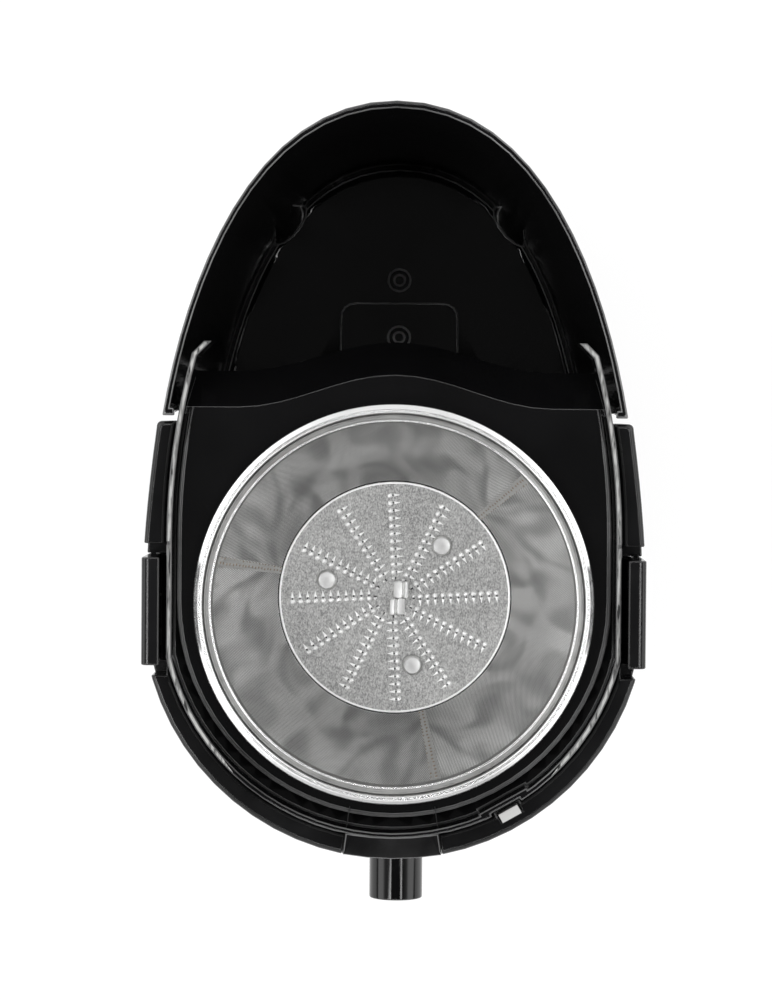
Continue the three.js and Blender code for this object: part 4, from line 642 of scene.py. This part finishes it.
def seam_lap(angle):
    """The overlap of two sheets: a smooth strip lying on the inside of the cone."""
    half = math.degrees(LAP_HALF_WIDTH / LAP_MIDDLE_RADIUS)
    bm = bmesh.new()
    points = [
        bm.verts.new(((radius - lift_here) * MM, 0, height * MM))
        for radius, height, lift_here in (
            (SIEVE_BOTTOM_RADIUS, SIEVE_BOTTOM + 0.6, 0.02),
            (SIEVE_BOTTOM_RADIUS, SIEVE_BOTTOM + 0.6, LAP_LIFT),
            (SIEVE_TOP_RADIUS, SIEVE_TOP - 0.2, LAP_LIFT),
            (SIEVE_TOP_RADIUS, SIEVE_TOP - 0.2, 0.02),
        )
    ]
    edges = [bm.edges.new(pair) for pair in zip(points, points[1:] + points[:1])]
    section = bmesh.ops.contextual_create(bm, geom=edges)["faces"]
    bmesh.ops.rotate(bm, verts=bm.verts, matrix=Matrix.Rotation(math.radians(angle - half), 3, "Z"))
    bmesh.ops.spin(bm, geom=section, axis=(0, 0, 1), angle=math.radians(2 * half), steps=4)
    bmesh.ops.remove_doubles(bm, verts=bm.verts, dist=1e-7)
    bmesh.ops.recalc_face_normals(bm, faces=bm.faces)
    layer = bm.loops.layers.uv.new("lap")
    for face in bm.faces:
        for loop in face.loops:
            place = loop.vert.co
            around = math.degrees(math.atan2(place.y, place.x)) - angle
            around = (around + 180) % 360 - 180
            loop[layer].uv = (around * LAP_PER_DEGREE, place.z / MM)
    bmesh.ops.translate(bm, verts=bm.verts, vec=AXIS)
    return bm


for number, seam_angle in enumerate(SEAM_ANGLES, 1):
    piece("seam_lap_" + str(number), seam_lap(seam_angle), WELDED_STEEL, "basket", 40)


piece("lower_ring", turned([
    (LOWER_RING_INNER, LOWER_RING_BOTTOM), (LOWER_RING_OUTER - 0.3, LOWER_RING_BOTTOM),
    (LOWER_RING_OUTER, LOWER_RING_BOTTOM + 0.3), (LOWER_RING_OUTER, LOWER_RING_TOP - 0.4),
    (LOWER_RING_OUTER - 0.4, LOWER_RING_TOP), (LOWER_RING_INNER + 0.4, LOWER_RING_TOP),
    (LOWER_RING_INNER, LOWER_RING_TOP - 0.3),
]), POLISHED_STEEL, "basket", 40, ("lower_basket_ring",))

TOOTH_ROWS = 12
TEETH_IN_ROW = 11
TOOTH_PITCH = 3.04
FIRST_TOOTH = 10.1
ROW_TURN = 3.0
INNER_DIMPLES = 7.6


def disc_plate():
    """The cutting disc's sheet with its bright rolled edge."""
    edge = DISC_RADIUS
    return turned([
        (0, DISC_BOTTOM), (edge - 0.4, DISC_BOTTOM), (edge, DISC_BOTTOM + 0.35),
        (edge, DISC_TOP - 0.15), (edge - 0.25, DISC_TOP + 0.12), (edge - 0.6, DISC_TOP + 0.16),
        (edge - 0.95, DISC_TOP + 0.02), (edge - 1.3, DISC_TOP), (0, DISC_TOP),
    ], 144, closed=False)


def punched_tooth(bm, radius):
    """One tooth: a low round dimple and the sharp point that follows it, shaped like a small roof."""
    before = set(bm.verts)
    bmesh.ops.create_cone(bm, cap_ends=True, segments=12, radius1=1.12 * MM, radius2=0.9 * MM,
                          depth=0.3 * MM, matrix=Matrix.Translation((0, 0, 0.15 * MM)))
    point = bmesh.ops.create_cone(bm, cap_ends=True, segments=4, radius1=0.66 * MM, radius2=0.06 * MM,
                                  depth=2.3 * MM)["verts"]
    bmesh.ops.rotate(bm, verts=point, matrix=Matrix.Rotation(math.radians(90), 3, "X"))
    bmesh.ops.scale(bm, vec=(1, 1, 0.5), verts=point)
    bmesh.ops.translate(bm, verts=point, vec=(0, -2.75 * MM, 0))
    made = [vert for vert in bm.verts if vert not in before]
    bmesh.ops.translate(bm, verts=made, vec=(radius * MM, 0, DISC_TOP * MM))
    return made


def rows_round(bm):
    """Turns one row of small shapes to its start and repeats it round the disc."""
    bmesh.ops.rotate(bm, verts=bm.verts, matrix=Matrix.Rotation(math.radians(ROW_TURN), 3, "Z"))
    copies_round(bm, list(bm.verts) + list(bm.edges) + list(bm.faces), TOOTH_ROWS)
    bmesh.ops.translate(bm, verts=bm.verts, vec=AXIS)
    return bm


def tooth_rows():
    """All the disc's teeth, with one small dimple at the inner end of each row."""
    bm = bmesh.new()
    for number in range(TEETH_IN_ROW):
        punched_tooth(bm, FIRST_TOOTH + TOOTH_PITCH * number)
    dimple_place = Matrix.Translation((INNER_DIMPLES * MM, 0, (DISC_TOP + 0.16) * MM))
    bmesh.ops.create_cone(bm, cap_ends=True, segments=10, radius1=0.7 * MM, radius2=0.2 * MM,
                          depth=0.35 * MM, matrix=dimple_place)
    return rows_round(bm)


def tooth_hole_shade():
    """A dark shape in the notch of each dimple, which opens into the hole that its point was raised from:
    painted shade where the hole shows only shadow.
    """
    bm = bmesh.new()
    for number in range(TEETH_IN_ROW):
        place = Matrix.Translation(((FIRST_TOOTH + TOOTH_PITCH * number) * MM, -1.1 * MM, DISC_TOP * MM))
        hole = bmesh.ops.create_cone(bm, cap_ends=True, segments=8, radius1=0.34 * MM, radius2=0.3 * MM,
                                     depth=0.6 * MM)["verts"]
        bmesh.ops.scale(bm, vec=(0.85, 1.25, 1), verts=hole)
        bmesh.ops.transform(bm, matrix=place, verts=hole)
    slit = bmesh.ops.create_cube(bm, size=1)["verts"]
    bmesh.ops.scale(bm, vec=(1.0 * MM, 0.45 * MM, 0.5 * MM), verts=slit)
    bmesh.ops.translate(bm, verts=slit, vec=(INNER_DIMPLES * MM, -0.75 * MM, DISC_TOP * MM))
    return rows_round(bm)


disc = piece("disc_plate", disc_plate(), DISC_STEEL, "basket", 40, ("grater_disc",))
# The rolled edge is painted paler than the sheet, a painted highlight.
refinish(disc, PALE_HIGHLIGHT_STEEL, lambda place: from_axis(place) > DISC_RADIUS - 0.95 and place.z > DISC_TOP)
piece("cutting_teeth", tooth_rows(), PALE_HIGHLIGHT_STEEL, "basket", 60)
piece("tooth_hole_shade", tooth_hole_shade(), CARBON, "basket", 40)


def centre_tab(width, length, height, x, y, lean, rounding):
    """A tab of the disc's sheet bent up beside the middle, its corners well rounded."""
    bm = bmesh.new()
    bmesh.ops.create_cube(bm, size=1)
    bmesh.ops.scale(bm, vec=(width * MM, length * MM, height * MM), verts=bm.verts)
    upright = [edge for edge in bm.edges if abs(edge.verts[0].co.z - edge.verts[1].co.z) > height * MM / 2]
    bmesh.ops.bevel(bm, geom=upright, offset=rounding * MM, segments=4, profile=0.5, affect="EDGES",
                    material=-1)
    upper = [edge for edge in bm.edges if min(vert.co.z for vert in edge.verts) > 0.4 * height * MM]
    bmesh.ops.bevel(bm, geom=upper, offset=0.3 * MM, segments=3, profile=0.5, affect="EDGES", material=-1)
    bmesh.ops.rotate(bm, verts=bm.verts, matrix=Matrix.Rotation(math.radians(lean), 3, "Y"))
    bmesh.ops.translate(bm, verts=bm.verts, vec=(x * MM, y * MM, (DISC_TOP + height / 2) * MM))
    bmesh.ops.rotate(bm, verts=bm.verts, matrix=Matrix.Rotation(math.radians(-1), 3, "Z"))
    bmesh.ops.translate(bm, verts=bm.verts, vec=AXIS)
    return bm


for tab, shape in {
    "centre_tab_back": (3.7, 6.8, 1.8, 1.5, 3.2, -24, 0.9),
    "centre_blade_back": (1.4, 6.6, 3.6, 4.15, 3.3, 22, 0.5),
    "centre_tab_front": (3.3, 6.5, 1.8, 2.5, -3.5, 24, 0.9),
    "centre_blade_front": (2.0, 6.3, 3.4, -0.35, -3.6, -22, 0.6),
}.items():
    piece(tab, centre_tab(*shape), PALE_HIGHLIGHT_STEEL, "basket", 40)


def rivet_head(node):
    """A rivet's low round head and its shank, in a frame node's place."""
    low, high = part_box(node)
    centre = (low + high) / 2
    radius = (high.x - low.x) / 2 / MM
    top = high.z / MM
    bottom = low.z / MM
    bm = turned([
        (0, bottom), (1.6, bottom), (1.6, top - 1.2), (radius - 0.1, top - 1.2),
        (radius, top - 0.9), (radius - 0.1, top - 0.5), (radius - 0.7, top - 0.14),
        (radius - 0.9, top), (radius - 1.2, top - 0.08), (radius - 1.4, top - 0.16), (0, top - 0.16),
    ], 48, closed=False)
    bmesh.ops.translate(bm, verts=bm.verts, vec=(centre.x - AXIS.x, centre.y - AXIS.y, 0))
    return bm


for number in (1, 2, 3):
    piece("rivet_head_" + str(number), rivet_head("rivet_" + str(number)), RIVET_STEEL, "basket", 50,
          ("rivet_" + str(number),))


# ---------------------------------------------------------------- moulded parts

def deck_back(place):
    """Picks the wavy back edge of the bowl's plate, whose corners are too crowded for a full radius."""
    return abs(place.x) < 80 and place.y > 20 and 190 < place.z < BAND_TOP - 9


def front_wall_sliver(place):
    """Picks the thin slivers that stand on the outer edge of the pulp container's front wall."""
    return abs(place.x) < 50 and 38 < place.y < 56 and place.z > FRONT_WALL_TOP


def band_top(place):
    """Picks the top of the bowl's raised band on its two long sides."""
    return place.z > BAND_TOP - 0.2 and abs(place.x) > 62


dressed("base_housing", "motor_base", BLACK_SATIN, PAINTED_FAINT_HIGHLIGHT, "base")
bowl = dressed("juice_bowl", "bowl_moulding", BLACK_GLOSS, PAINTED_MID_HIGHLIGHT, "bowl", spared=deck_back)
# The band's top is painted pale, which is a painted reflection.
refinish(bowl, BAND_TOP_SHEEN, band_top)
dressed("pulp_container", "bin_moulding", BLACK_GLOSS, PAINTED_BRIGHT_HIGHLIGHT, "bin", levelled=front_wall_sliver)
dressed("latch_right", "right_latch_arm", BLACK_SATIN, PAINTED_FAINT_HIGHLIGHT, "right_latch")
dressed("latch_left", "left_latch_arm", BLACK_SATIN, PAINTED_FAINT_HIGHLIGHT, "left_latch")
dressed("speed_knob", "dial", BLACK_SATIN, PAINTED_MID_HIGHLIGHT, "knob")

GAP_SHADE_THICKNESS = 0.3
GAP_SHADE_LENGTH = 18
GAP_SHADE_X = 17.9
GAP_SHADE_Y = -122.2
# How far the gap leans outwards to the front, and inwards from the band down to the bowl's bottom.
GAP_SHADE_FLARE = 3.2 / 21.5
GAP_SHADE_DRAFT = 2


def notch_gap_shade(side):
    """A thin dark strip standing in the gap between the base and one side of the bowl's spout block: painted
    shade that hides the light seen through the gap.
    """
    low = BOWL_BOTTOM + 6
    high = BAND_TOP - 8.4
    bm = bmesh.new()
    bmesh.ops.create_cube(bm, size=1)
    size = Vector((GAP_SHADE_THICKNESS, GAP_SHADE_LENGTH, high - low))
    bmesh.ops.scale(bm, vec=size * MM, verts=bm.verts)
    bmesh.ops.bevel(bm, geom=bm.edges, offset=0.1 * MM, segments=1, profile=0.5, affect="EDGES", material=-1)
    bmesh.ops.translate(bm, verts=bm.verts, vec=Vector((GAP_SHADE_X, GAP_SHADE_Y, (high + low) / 2)) * MM)
    for vert in bm.verts:
        flare = (GAP_SHADE_Y - vert.co.y / MM) * GAP_SHADE_FLARE
        draft = GAP_SHADE_DRAFT * (BAND_TOP - vert.co.z / MM) / (BAND_TOP - BOWL_BOTTOM)
        vert.co.x = (vert.co.x + (flare - draft) * MM) * side
    bmesh.ops.recalc_face_normals(bm, faces=bm.faces)
    return bm


# Dark strips in the gaps beside the spout block: painted shade.
piece("notch_gap_shade_right", notch_gap_shade(1), RUBBER, "base")
piece("notch_gap_shade_left", notch_gap_shade(-1), RUBBER, "base")

TAB_FRAME_SIZE = (10.2, 5.6)
TAB_FRAME_CORNER = 1.2
TAB_FRAME_WIDTH = 0.35
TAB_FRAME_SUNK = 0.05
TAB_FRAME_HEIGHT = 0.55
TAB_TURN = 29.5


def tab_frame():
    """The raised frame round the lid switch's tab on the base's top."""
    low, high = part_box("interlock_plunger")
    bm = bmesh.new()
    bmesh.ops.create_grid(bm, x_segments=1, y_segments=1, size=0.5)
    bmesh.ops.scale(bm, vec=(TAB_FRAME_SIZE[0] * MM, TAB_FRAME_SIZE[1] * MM, 1), verts=bm.verts)
    bmesh.ops.bevel(bm, geom=bm.verts, offset=TAB_FRAME_CORNER * MM, segments=4, profile=0.5,
                    affect="VERTICES", material=-1)
    middle = bm.faces[:]
    bmesh.ops.inset_region(bm, faces=middle, thickness=TAB_FRAME_WIDTH * MM, use_boundary=True,
                           use_even_offset=True)
    bmesh.ops.delete(bm, geom=middle, context="FACES_ONLY")
    raised = bmesh.ops.extrude_face_region(bm, geom=bm.faces[:])["geom"]
    lifted = [part for part in raised if isinstance(part, bmesh.types.BMVert)]
    bmesh.ops.translate(bm, verts=lifted, vec=(0, 0, TAB_FRAME_HEIGHT * MM))
    bmesh.ops.recalc_face_normals(bm, faces=bm.faces)
    bmesh.ops.rotate(bm, verts=bm.verts, matrix=Matrix.Rotation(math.radians(TAB_TURN), 3, "Z"))
    place = Vector(((low.x + high.x) / 2, (low.y + high.y) / 2, (BASE_TOP - TAB_FRAME_SUNK) * MM))
    bmesh.ops.translate(bm, verts=bm.verts, vec=place)
    return bm


piece("tab_frame", tab_frame(), BLACK_SATIN, "base")

FINISHES = {
    "black_satin": BLACK_SATIN,
    "black_gloss": BLACK_GLOSS,
    "grey_plastic": GREY_PLASTIC,
    "polished_steel": POLISHED_STEEL,
    "satin_steel": DISC_STEEL,
    "plain_steel": PLAIN_STEEL,
    "laminated_steel": LAMINATED_STEEL,
    "copper": COPPER,
    "cast_alloy": CAST_ALLOY,
    "rubber": RUBBER,
    "carbon": CARBON,
}

for part in frame["record"]["subparts"]:
    for material_slot in NODES[part["node"]].material_slots:
        material_slot.material = FINISHES[part["material_slot"]]
